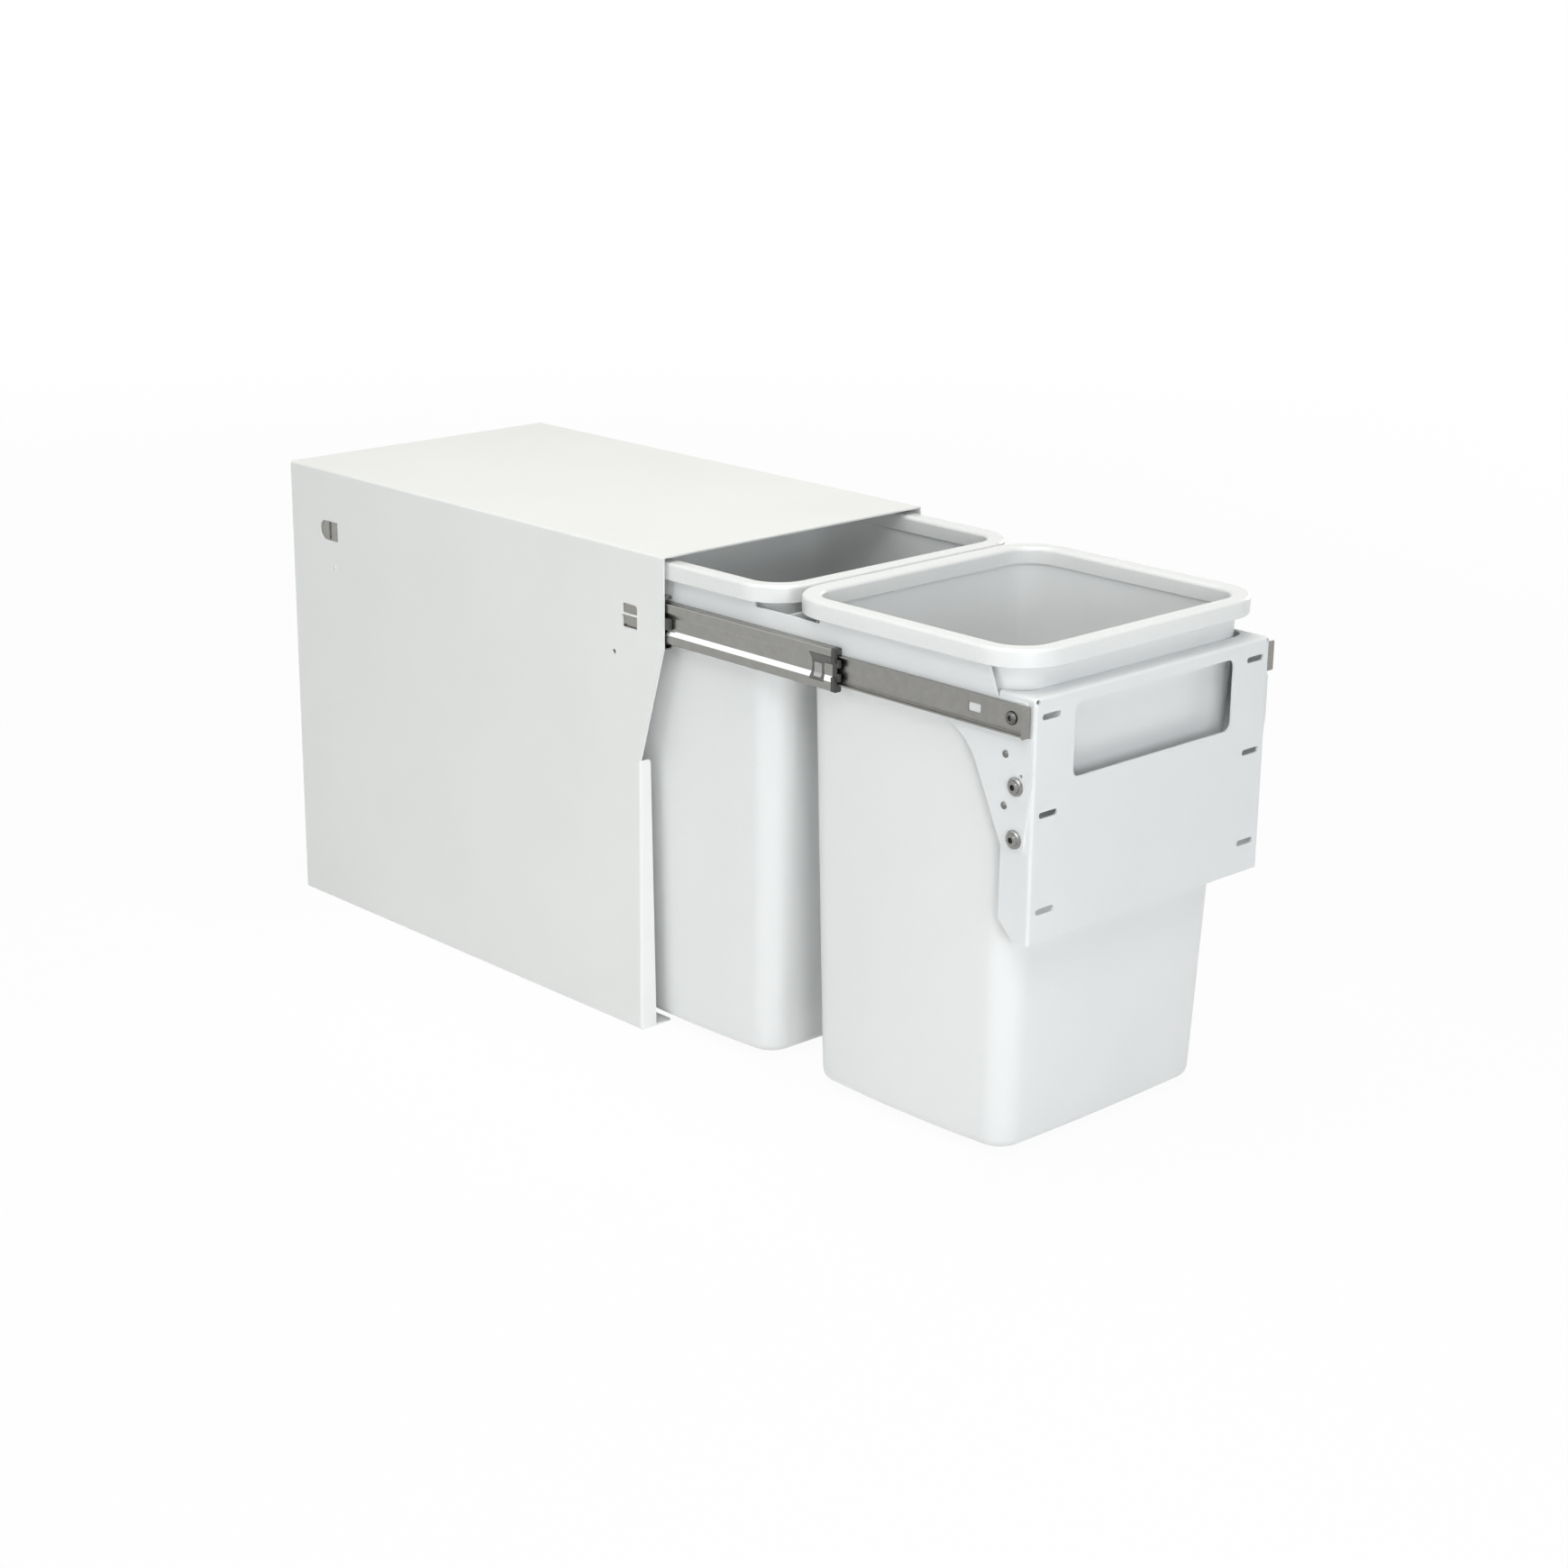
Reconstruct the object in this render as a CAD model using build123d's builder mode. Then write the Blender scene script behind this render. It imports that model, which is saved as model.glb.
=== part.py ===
from build123d import *
import os

# Pull out waste unit for a kitchen cabinet: a folded steel casing that is screwed to the
# cabinet floor, a pair of ball bearing slides, and a carrier with two buckets behind a
# front plate that the cabinet door is fixed to.
# Millimetres. +Z is up, +X is to the right seen from the front, and the carrier is pulled
# out along -Y. The origin is on the cabinet floor, in the middle of the four base screws.
# The pieces stand as they do when the carrier is pulled out part of the way.

# ---------------------------------------------------------------- driving dimensions
# casing
case_width = 260.0
case_height = 364.0
case_depth = 455.5
case_sheet = 1.2
case_bend = 2.0              # outside radius of the casing's folds
nose_reach = 25.5            # how far the upper front edge stands ahead of the lower one
nose_drop = 18.8             # from the slides' centre line down to the start of the slant
nose_slant = 88.0            # height of the slanted part of the front edge
flange_width_top = 9.7       # front return flanges, at their upper end
flange_width_low = 14.6      # and at the floor
flange_corner = 3.0
foot_width = 29.5            # flanges on the cabinet floor
foot_corner = 2.0
base_hole_radius = 2.25
base_hole_inset = 14.0       # from the casing's outer side to the hole
base_hole_end_gap = 45.0     # from the end of the foot flange to the hole
side_hole_radius = 1.8
side_hole_drop = 30.4        # below the slides' centre line
side_hole_front = 54.0       # from the casing's front edge
side_hole_back = 56.8        # from the casing's rear edge
front_slot_start = 28.5      # from the casing's front edge
front_slot_length = 16.0
front_slot_height = 17.6
front_slot_corner = 3.0
rear_slot_end = 38.0         # from the casing's rear edge
rear_slot_length = 24.0
rear_slot_height = 15.8
rear_slot_flat = 0.8         # flat part between the two round corners of the rear slot
slot_drop = 1.0              # slots' middle below the slides' centre line
bridge_rise = 1.1            # bridge across the front slot, above the slot's middle
bridge_height = 1.0
bridge_reach = 1.2           # how far the bridge stands out from the casing's side
bridge_overlap = 0.5         # beyond the slot at each end
bridge_round = 0.45

# slides
slide_drop = 48.2            # from the casing's top down to the slides' centre line
slide_setback = 1.0          # from the casing's front edge to the outer rail
slide_end_gap = 4.5          # from the outer rail to the casing's rear edge
slide_thickness = 8.5        # from the casing's wall to the carrier's side plate
rail_sheet = 1.0
rail_bend = 0.9              # centre line radius of the rails' folds
inner_half_height = 10.3
inner_depth = 4.2
ball_diameter = 3.2
ball_clearance = 0.2         # between a ball and each raceway
outer_depth = 7.9
outer_lip = 2.4
mid_gap = 0.4                # between the outer rail's web and the intermediate rail's beads
mid_depth = 8.0
mid_bead_height = 6.5
mid_web_half_height = 4.6
mid_web_recess = 1.6
mid_setback = 1.5            # intermediate rail ahead of the casing's front when closed
tab_sheet = 1.2
tab_bridge_gap = 0.1         # between the front hook and the bridge above it
tab_end_gap = 0.5            # between a hook's ends and its slot
tab_reach = 1.0              # how far the hooks reach into the casing wall
tab_window_height = 2.2      # opening that the front hook leaves in the rail
retainer_length = 200.0
retainer_sheet = 1.0
ball_pitch = 21.0
balls_in_row = 10
ball_hole_clearance = 0.05
outer_ball_depth = 4.2       # from the casing's wall to the balls of the outer retainers
outer_retainer_width = 4.8
inner_ball_depth = 5.95
inner_retainer_width = 4.3
outer_retainer_start = 40.0  # from the casing's front edge
inner_retainer_start = 37.5  # from the intermediate rail's front end
nose_stop_length = 6.0
nose_stop_half_height = 4.2
nose_stop_depth = 2.6
end_cap_length = 3.5
end_cap_lip = 0.3
end_cap_round = 1.2
tongue_length = 2.6          # two small lobes that stand out in front of the end cap
tongue_thickness = 2.0
tongue_height = 5.6
tongue_middle = 4.8          # above and below the slides' centre line
tongue_round = 0.8
clip_setback = 13.6          # from the intermediate rail's front end to the clip's middle
clip_half_length = 7.0       # of the hourglass window that the clip sits in
clip_half_waist = 5.4
clip_half_height = 9.3
clip_arm_low = 3.6           # arm from the clip to the rail's front end, lower edge
clip_gap = 0.3
catch_length = 8.0           # spring catch in the clip's middle
catch_height = 10.4
catch_drop = 2.4
catch_corner = 1.0

# carrier
travel_shown = 328.5         # how far the carrier is pulled out in the stored pose
plate_standoff = 12.0        # front plate ahead of the casing's front edge when closed
side_sheet = 1.4
carrier_rear_gap = 7.5       # from the carrier's rear end to the casing's when closed
notch_drop = 13.2            # depth of the notches in the side plates' upper edge
notch_ahead = 33.5           # from a ring's rear end to the start of the notch
notch_behind = 26.5          # from a ring's front end to the end of the notch
band_drop = 10.9             # from the slides' centre line to the side plates' lower edge
arm_drop = 87.3              # from the slides' centre line to the arm's lower end
arm_front = 1.0              # from the front plate's face
arm_tip_front = 6.3
arm_tip_back = 24.5
arm_tip_slant = 46.6         # height of the arm's slanted front edge
arm_waist_back = 60.3
arm_fillet = 45.0
arm_corner = 3.5
shoulder_rise = 11.2         # above the slides' centre line
shoulder_back = 31.5
brow_back = 42.0             # where the upper edge starts behind the front plate
brow_slant = 4.0

# front plate
plate_sheet = 1.5
plate_bend = 2.4
plate_height = 165.0
plate_rise = 15.2            # from the slides' centre line up to the plate's upper edge
plate_depth = 31.0           # of the shelf and of the upper part of the side flanges
plate_flange_depth = 26.0
plate_step_drop = 31.0       # from the plate's upper edge to the step in the side flanges
plate_step_slant = 8.0
plate_chamfer_height = 12.5
plate_chamfer_depth = 13.0
window_side_gap = 37.9       # from the side flanges to the window
window_height = 50.0
window_drop = 18.9           # from the slides' centre line to the window's middle
window_corner = 6.0
door_slot_length = 17.5
door_slot_radius = 2.1
door_slot_inset = 15.3       # from the side flanges to the slots' middle
door_slot_pitch = 65.25      # between the three rows
door_slot_rise = 4.25        # middle row above the plate's middle
relief_radius = 1.6
shelf_clearance = 0.5        # between the shelf and the bucket
shelf_corner = 15.0

# fasteners
adjuster_back = 13.5         # from the front plate's face
adjuster_drop = 80.0         # from the slides' centre line to the lower adjusting screw
adjuster_pitch = 35.3
adjuster_flange_radius = 6.4
adjuster_flange = 1.2
adjuster_head_radius = 4.5
adjuster_head = 2.4
adjuster_head_taper = 14.0   # degrees
adjuster_shank_radius = 2.5
adjuster_shank = 8.5
adjuster_socket_radius = 2.0
adjuster_socket_depth = 1.8
shank_clearance = 0.05
nut_flat_radius = 4.6
nut_thickness = 3.4
pin_back = 23.0
pin_rise = 20.6              # above the adjusting screw below it
pin_pitch = 34.3
pin_radius = 2.0
pin_head_radius = 2.6
pin_head = 0.9
index_hole_radius = 1.3
index_hole_back = 9.5
index_hole_above = 7.6       # above the upper adjusting screw
rail_screw_back = 18.0
rail_screw_head_radius = 4.6
rail_screw_head = 2.0
rail_screw_radius = 2.0
rail_screw_socket_radius = 1.8
rail_screw_length = 5.0
rail_rivet_end_gap = 32.0    # from the carrier's rear end
rail_rivet_pitch = 150.0
rail_rivet_radius = 2.0
rail_rivet_head_radius = 3.2
rail_rivet_head = 0.9
rail_rivet_tail = 1.0
rivet_head_taper = 20.0      # degrees
inner_rail_setback = 3.0     # from the front plate's face to the inner rails
inner_rail_shortfall = 5.0   # inner rails shorter than the slides
inner_tab_gap = 0.9          # from the casing's wall to the inner rails' folded front ends
rail_window_back = 50.0      # from the front plate's face
rail_window_length = 11.0
rail_window_height = 6.0
rear_rivet_rise = 0.2        # lower rear rivet above the slides' centre line
rear_rivet_pitch = 22.0
rear_rivet_end_gap = 7.0     # from the carrier's rear end

# cross members
cross_sheet = 1.4
rear_plate_depth = 14.0
rear_plate_end_gap = 2.0     # from the carrier's rear end
rear_plate_drop = 15.8       # from the slides' centre line to the rear plate's lower edge
bar_depth = 10.0
bar_drop = 7.8               # from the slides' centre line to the centre bar's lower edge
cross_top_gap = 1.5          # cross members' upper edges below the side plates' notches

# buckets and their liner rings
ring_front = 5.0             # from the front plate's face to the front ring
ring_tail = 8.2              # from the rear ring to the carrier's rear end
ring_gap = 3.2               # between the two rings
ring_side_gap = 4.3          # from a ring's outer face to the casing's outer side
ring_corner = 36.8
ring_headroom = 4.6          # from the rings' tops to the casing's top
ring_height = 12.3
ring_band = 13.6             # width of the ring, seen from above
ring_roof = 1.6
ring_skirt = 1.3
ring_outer_round = 1.9
ring_inner_round = 2.4
bucket_wall = 1.6
bucket_floor = 5.0
bucket_side_inset = 9.8      # from the ring's outer face to the bucket's wall at its top
bucket_end_inset = 9.95
bucket_side_draft = 12.9     # how much narrower the bottom is, on each side
bucket_end_draft = 10.55
bucket_top_corner = 24.5
bucket_low_corner = 18.0
bucket_low_set_back = 4.5    # the bottom's centre lies this far behind the rim's centre
bucket_side_bow = 4.1        # how far the walls bulge at the bottom, on the sides
bucket_end_bow = 1.8         # and at the front and back
bucket_rim_bow = 0.2         # the same at the rim
bucket_bottom_round = 8.0
lip_reach = 1.7              # ring's outer face to the bucket lip's outer edge
lip_skirt = 6.4

# ---------------------------------------------------------------- places that follow
case_back = (case_depth - nose_reach) / 2
case_front = case_back - case_depth
base_front = case_front + nose_reach
base_length = case_back - base_front
wall_inside = case_width / 2 - case_sheet
slide_height = case_height - slide_drop
slide_length = case_depth - slide_setback - slide_end_gap
nose_low = slide_height - nose_drop
nose_foot = nose_low - nose_slant
slot_height = slide_height - slot_drop
slot_middle_front = case_front + front_slot_start + front_slot_length / 2
slot_middle_rear = case_back - rear_slot_end - rear_slot_length / 2
bridge_middle = (wall_inside + case_width / 2 + bridge_reach) / 2
bridge_back = slot_middle_front + front_slot_length / 2 + bridge_overlap
bridge_level = slot_height + bridge_rise
side_hole_height = slide_height - side_hole_drop
side_hole_pitch = case_depth - side_hole_front - side_hole_back
side_hole_middle = case_front + side_hole_front + side_hole_pitch / 2
base_hole_span = case_width - 2 * base_hole_inset
base_hole_pitch = base_length - 2 * base_hole_end_gap

mid_half_height = inner_half_height + ball_diameter + 2 * ball_clearance + rail_sheet
outer_half_height = mid_half_height + ball_diameter + 2 * ball_clearance + rail_sheet
outer_front = case_front + slide_setback
outer_back = outer_front + slide_length
mid_front = case_front - mid_setback - travel_shown / 2
mid_back = mid_front + slide_length

side_outer = wall_inside - slide_thickness
side_inner = side_outer - side_sheet
plate_face = case_front - plate_standoff - travel_shown
carrier_length = case_depth + plate_standoff - carrier_rear_gap
carrier_back = plate_face + carrier_length
inner_front = plate_face + inner_rail_setback
inner_rail_length = slide_length - inner_rail_shortfall

bucket_pitch = (carrier_length - ring_front - ring_tail + ring_gap) / 2
ring_width = case_width - 2 * ring_side_gap
ring_length = bucket_pitch - ring_gap
ring_top = case_height - ring_headroom
ring_low = ring_top - ring_height
ring_middle = plate_face + ring_front + ring_length / 2
ring_middles = (ring_middle, ring_middle + bucket_pitch)
ring_gap_middle = ring_middle + bucket_pitch / 2
bucket_top = ring_top - ring_roof
bucket_top_width = ring_width - 2 * bucket_side_inset
bucket_top_length = ring_length - 2 * bucket_end_inset
bucket_low_width = bucket_top_width - 2 * bucket_side_draft
bucket_low_length = bucket_top_length - 2 * bucket_end_draft

hang_height = bucket_top - bucket_wall
notch_height = hang_height - notch_drop
band_low = slide_height - band_drop
arm_low = slide_height - arm_drop
shoulder_height = slide_height + shoulder_rise
plate_high = slide_height + plate_rise
plate_low = plate_high - plate_height
plate_middle = (plate_low + plate_high) / 2
plate_step_high = plate_high - plate_step_drop
window_width = 2 * (side_inner - window_side_gap)
door_slot_span = 2 * (side_inner - door_slot_inset)
adjuster_low = slide_height - adjuster_drop
adjuster_high = adjuster_low + adjuster_pitch
pin_low = adjuster_low + pin_rise
cross_high = notch_height - cross_top_gap

os.makedirs("parts", exist_ok=True)


# ---------------------------------------------------------------- helpers
def save(piece, name):
    """Label one finished piece and write it."""
    piece.part.label = name
    export_step(piece.part, f"parts/{name}.step")


def save_pair(left, name):
    """Write a left piece and its mirror image on the right."""
    save(left, f"{name}_left")
    with BuildPart() as right:
        mirror(left.part, about=Plane.YZ)
    save(right, f"{name}_right")


def slide_x(depth):
    """X of a point this far inward from the inner face of the casing's left wall."""
    return -wall_inside + depth


def rail_point(depth, height):
    """Point of a left rail's section, from the wall and from the slide's centre line."""
    return (slide_x(depth), slide_height + height)


def rail_bar(depth_near, depth_far, half_height, mode=Mode.ADD):
    """Rectangle across the slide's centre line in a section seen along Y."""
    with Locations(rail_point((depth_near + depth_far) / 2, 0)):
        Rectangle(depth_far - depth_near, 2 * half_height, mode=mode)


def folded_rail(path, back, length):
    """A rail of constant section: a strip of sheet folded along the path."""
    with BuildSketch(Plane.XZ.offset(-back)) as section:
        with BuildLine():
            FilletPolyline(*[rail_point(*corner) for corner in path], radius=rail_bend)
        trace(line_width=rail_sheet)
    extrude(section.sketch, amount=length)


def mirrored_path(half):
    """A section's corners above the centre line, then the same ones below it."""
    return half + [(depth, -height) for depth, height in reversed(half)]


def ball_places(depth, height, start):
    """Centres of the balls in the upper and the lower row of one retainer."""
    row = (balls_in_row - 1) * ball_pitch
    first = start + (retainer_length - row) / 2
    return [
        (slide_x(depth), first + step * ball_pitch, slide_height + side * height)
        for side in (1, -1)
        for step in range(balls_in_row)
    ]


def rounded_outline(width, length, corner, middle):
    """Rounded rectangle seen from above, centred on X and on the given Y."""
    with Locations((0, middle)):
        RectangleRounded(width, length, corner)


def bowed_outline(height, width, length, corner, side_bow, end_bow, middle):
    """Rounded rectangle with bulging sides, seen from above, at a height."""
    side = width / 2
    front = middle - length / 2
    back = middle + length / 2
    with BuildSketch(Plane.XY.offset(height)) as outline:
        with BuildLine():
            ThreePointArc((-side, front), (0, front - end_bow), (side, front))
            ThreePointArc((side, front), (side + side_bow, middle), (side, back))
            ThreePointArc((side, back), (0, back + end_bow), (-side, back))
            ThreePointArc((-side, back), (-side - side_bow, middle), (-side, front))
        make_face()
        fillet(vertices(), radius=corner)
    return outline.sketch


def bucket_body(middle, inset):
    """Tapered body of a bucket. The inset makes the hollow inside its wall."""
    bottom = bowed_outline(
        bucket_floor + inset,
        bucket_low_width - 2 * inset,
        bucket_low_length - 2 * inset,
        bucket_low_corner - inset,
        bucket_side_bow,
        bucket_end_bow,
        middle + bucket_low_set_back,
    )
    rim = bowed_outline(
        bucket_top,
        bucket_top_width - 2 * inset,
        bucket_top_length - 2 * inset,
        bucket_top_corner - inset,
        bucket_rim_bow,
        bucket_rim_bow,
        middle,
    )
    with BuildPart() as body:
        loft([bottom, rim], ruled=True)
        floor_face = body.faces().sort_by(Axis.Z)[0]
        fillet(floor_face.edges(), radius=bucket_bottom_round - inset)
    return body.part


# ---------------------------------------------------------------- casing
with BuildPart() as casing:
    with BuildSketch(Plane.XZ.offset(-case_back)):
        with Locations((0, case_height / 2)):
            RectangleRounded(case_width, case_height, case_bend)
            RectangleRounded(
                case_width - 2 * case_sheet,
                case_height - 2 * case_sheet,
                case_bend - case_sheet,
                mode=Mode.SUBTRACT,
            )
        with Locations((0, case_sheet / 2)):
            Rectangle(case_width - 2 * foot_width, 2 * case_sheet, mode=Mode.SUBTRACT)
    extrude(amount=case_depth)

    # the front edge slants back below the slides
    with BuildSketch(Plane.YZ):
        with BuildLine():
            Polyline(
                (case_front - 1, nose_low),
                (case_front, nose_low),
                (base_front, nose_foot),
                (base_front, -1),
                (case_front - 1, -1),
                close=True,
            )
        make_face()
    extrude(amount=case_width, both=True, mode=Mode.SUBTRACT)

    # front return flanges beside the buckets
    for side in (-1, 1):
        with BuildSketch(Plane.XZ.offset(-base_front - case_sheet)):
            with BuildLine():
                Polyline(
                    (side * case_width / 2, 0),
                    (side * (case_width / 2 - flange_width_low), 0),
                    (side * (case_width / 2 - flange_width_top), nose_foot),
                    (side * case_width / 2, nose_foot),
                    close=True,
                )
            make_face()
            inner_corner = vertices().group_by(Axis.Y)[-1].sort_by(Axis.X)[0 if side > 0 else -1]
            fillet(inner_corner, radius=flange_corner)
        extrude(amount=case_sheet)
    for side in (-1, 1):
        with BuildSketch(Plane.XY):
            with Locations((side * (case_width - case_bend) / 2, base_front + case_bend / 2)):
                Rectangle(case_bend, case_bend)
            with Locations((side * (case_width / 2 - case_bend), base_front + case_bend)):
                Circle(case_bend, mode=Mode.SUBTRACT)
        extrude(amount=nose_foot, mode=Mode.SUBTRACT)

    # openings in the side walls that take the hooks of the outer rails
    with BuildSketch(Plane.YZ):
        with Locations((slot_middle_front, slot_height)):
            Rectangle(front_slot_length, front_slot_height)
        front_corner = vertices().group_by(Axis.Y)[-1].sort_by(Axis.X)[0]
        fillet(front_corner, radius=front_slot_corner)
    extrude(amount=case_width, both=True, mode=Mode.SUBTRACT)
    with BuildSketch(Plane.YZ):
        with Locations((slot_middle_rear, slot_height)):
            Rectangle(rear_slot_length, rear_slot_height)
        rear_corners = vertices().group_by(Axis.X)[-1]
        fillet(rear_corners, radius=(rear_slot_height - rear_slot_flat) / 2)
    extrude(amount=case_width, both=True, mode=Mode.SUBTRACT)

    # bridges across the front slots, pressed outwards
    for side in (-1, 1):
        with BuildSketch(Plane.XZ.offset(-bridge_back)):
            with Locations((side * bridge_middle, bridge_level)):
                Rectangle(case_sheet + bridge_reach, bridge_height)
            outer_corners = vertices().group_by(Axis.X)[0 if side < 0 else -1]
            fillet(outer_corners, radius=bridge_round)
        extrude(amount=front_slot_length + 2 * bridge_overlap)

    # fixing holes in the side walls and in the foot flanges
    with BuildSketch(Plane.YZ):
        with Locations((side_hole_middle, side_hole_height)):
            with GridLocations(side_hole_pitch, 1, 2, 1):
                Circle(side_hole_radius)
    extrude(amount=case_width, both=True, mode=Mode.SUBTRACT)
    with BuildSketch(Plane.XY):
        with GridLocations(base_hole_span, base_hole_pitch, 2, 2):
            Circle(base_hole_radius)
    extrude(amount=2 * case_sheet, both=True, mode=Mode.SUBTRACT)

    foot_corners = [
        edge
        for edge in casing.edges().filter_by(Axis.Z)
        if abs(abs(edge.center().X) - (case_width / 2 - foot_width)) < 0.01
        and edge.center().Z < case_sheet
    ]
    fillet(foot_corners, radius=foot_corner)
save(casing, "casing")

# ---------------------------------------------------------------- outer rails
outer_mid_line = outer_half_height - rail_sheet / 2
front_tab_level = bridge_level - bridge_height / 2 - tab_bridge_gap - tab_sheet / 2
tab_window_level = slot_height - front_slot_height / 2 + tab_window_height / 2
outer_path = mirrored_path(
    [
        (outer_depth - rail_sheet / 2, outer_half_height - outer_lip),
        (outer_depth - rail_sheet / 2, outer_mid_line),
        (rail_sheet / 2, outer_mid_line),
    ]
)
with BuildPart() as outer_rail:
    folded_rail(outer_path, outer_back, slide_length)
    # hooks that reach into the openings of the casing wall
    with BuildSketch(Plane.YZ.offset(slide_x(0))):
        with Locations((slot_middle_front, front_tab_level)):
            Rectangle(front_slot_length - 2 * tab_end_gap, tab_sheet)
    extrude(amount=-tab_reach)
    with BuildSketch(Plane.YZ.offset(slide_x(0))):
        with Locations((slot_middle_rear, slot_height)):
            Rectangle(tab_sheet, rear_slot_height - 2 * tab_end_gap)
    extrude(amount=-tab_reach)
    # opening left in the web where the front hook is punched out
    with BuildSketch(Plane.YZ.offset(slide_x(0))):
        with Locations((slot_middle_front, tab_window_level)):
            Rectangle(front_slot_length - 2 * tab_end_gap, tab_window_height)
    extrude(amount=rail_sheet, mode=Mode.SUBTRACT)
save_pair(outer_rail, "outer_rail")

with BuildPart() as nose_stop:
    with BuildSketch(Plane.YZ.offset(slide_x(0))):
        with Locations((outer_front - nose_stop_length / 2, slide_height)):
            Rectangle(nose_stop_length, 2 * nose_stop_half_height)
        fillet(vertices().group_by(Axis.X)[0], radius=nose_stop_length / 4)
    extrude(amount=nose_stop_depth)
save_pair(nose_stop, "outer_rail_stop")

# ---------------------------------------------------------------- intermediate rails
mid_line = mid_half_height - rail_sheet / 2
bead_line = rail_sheet + mid_gap + rail_sheet / 2
web_line = bead_line + mid_web_recess
mid_path = mirrored_path(
    [
        (mid_depth, mid_line),
        (bead_line, mid_line),
        (bead_line, mid_half_height - mid_bead_height),
        (web_line, mid_web_half_height),
    ]
)
clip_middle = mid_front + clip_setback
clip_reach = clip_setback + clip_half_length


def clip_outline(gap):
    """Hourglass with an arm to the rail's front end, set in from its window by the gap."""
    half_length = clip_half_length - gap
    half_waist = clip_half_waist - gap
    half_height = clip_half_height - gap
    arm_height = half_height - clip_arm_low - gap
    arm_length = clip_setback - gap
    with BuildSketch(Plane.YZ.offset(slide_x(0))) as outline:
        with BuildLine():
            Polyline(
                (clip_middle - half_length, slide_height - half_height),
                (clip_middle + half_length, slide_height - half_height),
                (clip_middle + half_waist, slide_height),
                (clip_middle + half_length, slide_height + half_height),
                (clip_middle - half_length, slide_height + half_height),
                (clip_middle - half_waist, slide_height),
                close=True,
            )
        make_face()
        with Locations((clip_middle - arm_length / 2, slide_height + half_height - arm_height / 2)):
            Rectangle(arm_length, arm_height)
    return outline.sketch


def catch_outline(gap):
    """Opening for the spring catch, set in by the gap."""
    with BuildSketch(Plane.YZ.offset(slide_x(0))) as outline:
        with Locations((clip_middle, slide_height - catch_drop)):
            RectangleRounded(catch_length - 2 * gap, catch_height - 2 * gap, catch_corner - gap)
    return outline.sketch


with BuildPart() as mid_rail:
    folded_rail(mid_path, mid_back, slide_length)
    extrude(clip_outline(0), amount=web_line + rail_sheet, mode=Mode.SUBTRACT)
save_pair(mid_rail, "intermediate_rail")

bead_face = bead_line - rail_sheet / 2
web_face = web_line - rail_sheet / 2
cap_opening_depth = slide_thickness - inner_depth - clip_gap
with BuildPart() as end_cap:
    with BuildSketch(Plane.XZ.offset(-mid_front)):
        rail_bar(bead_face, mid_depth, mid_half_height + end_cap_lip)
        fillet(vertices(), radius=end_cap_round)
        # room for the inner rail, and for the stop in front of the outer rail
        rail_bar(cap_opening_depth, 2 * mid_depth, inner_half_height + clip_gap, Mode.SUBTRACT)
        rail_bar(0, web_face, mid_web_half_height + clip_gap, Mode.SUBTRACT)
    extrude(amount=end_cap_length)
    with BuildSketch(Plane.XZ.offset(-mid_front + end_cap_length)):
        for side in (1, -1):
            with Locations(rail_point(web_face + tongue_thickness / 2, side * tongue_middle)):
                RectangleRounded(tongue_thickness, tongue_height, tongue_round)
    extrude(amount=tongue_length)
save_pair(end_cap, "intermediate_rail_cap")

with BuildPart() as clip:
    folded_rail(mid_path, mid_front + clip_reach, clip_reach)
    extrude(clip_outline(clip_gap), amount=mid_depth, mode=Mode.INTERSECT)
    extrude(catch_outline(0), amount=mid_depth, mode=Mode.SUBTRACT)
save_pair(clip, "intermediate_rail_clip")

with BuildPart() as catch:
    folded_rail(mid_path, mid_front + clip_reach, clip_reach)
    extrude(catch_outline(clip_gap), amount=mid_depth, mode=Mode.INTERSECT)
save_pair(catch, "intermediate_rail_catch")

# ---------------------------------------------------------------- ball retainers and balls
outer_ball_height = mid_half_height + ball_clearance + ball_diameter / 2
inner_ball_height = inner_half_height + ball_clearance + ball_diameter / 2
retainers = (
    ("outer", outer_ball_depth, outer_retainer_width, outer_ball_height,
     case_front + outer_retainer_start),
    ("inner", inner_ball_depth, inner_retainer_width, inner_ball_height,
     mid_front + inner_retainer_start),
)
for row_name, ball_depth, strip_width, ball_height, strip_start in retainers:
    places = ball_places(ball_depth, ball_height, strip_start)
    with BuildPart() as strips:
        for side in (1, -1):
            strip_centre = (
                slide_x(ball_depth),
                strip_start + retainer_length / 2,
                slide_height + side * ball_height,
            )
            with Locations(strip_centre):
                Box(strip_width, retainer_length, retainer_sheet)
        with Locations(*places):
            Hole(ball_diameter / 2 + ball_hole_clearance, depth=2 * retainer_sheet)
    save_pair(strips, f"{row_name}_ball_retainer")
    with BuildPart() as balls:
        with Locations(*places):
            Sphere(ball_diameter / 2)
    save_pair(balls, f"{row_name}_balls")

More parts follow.
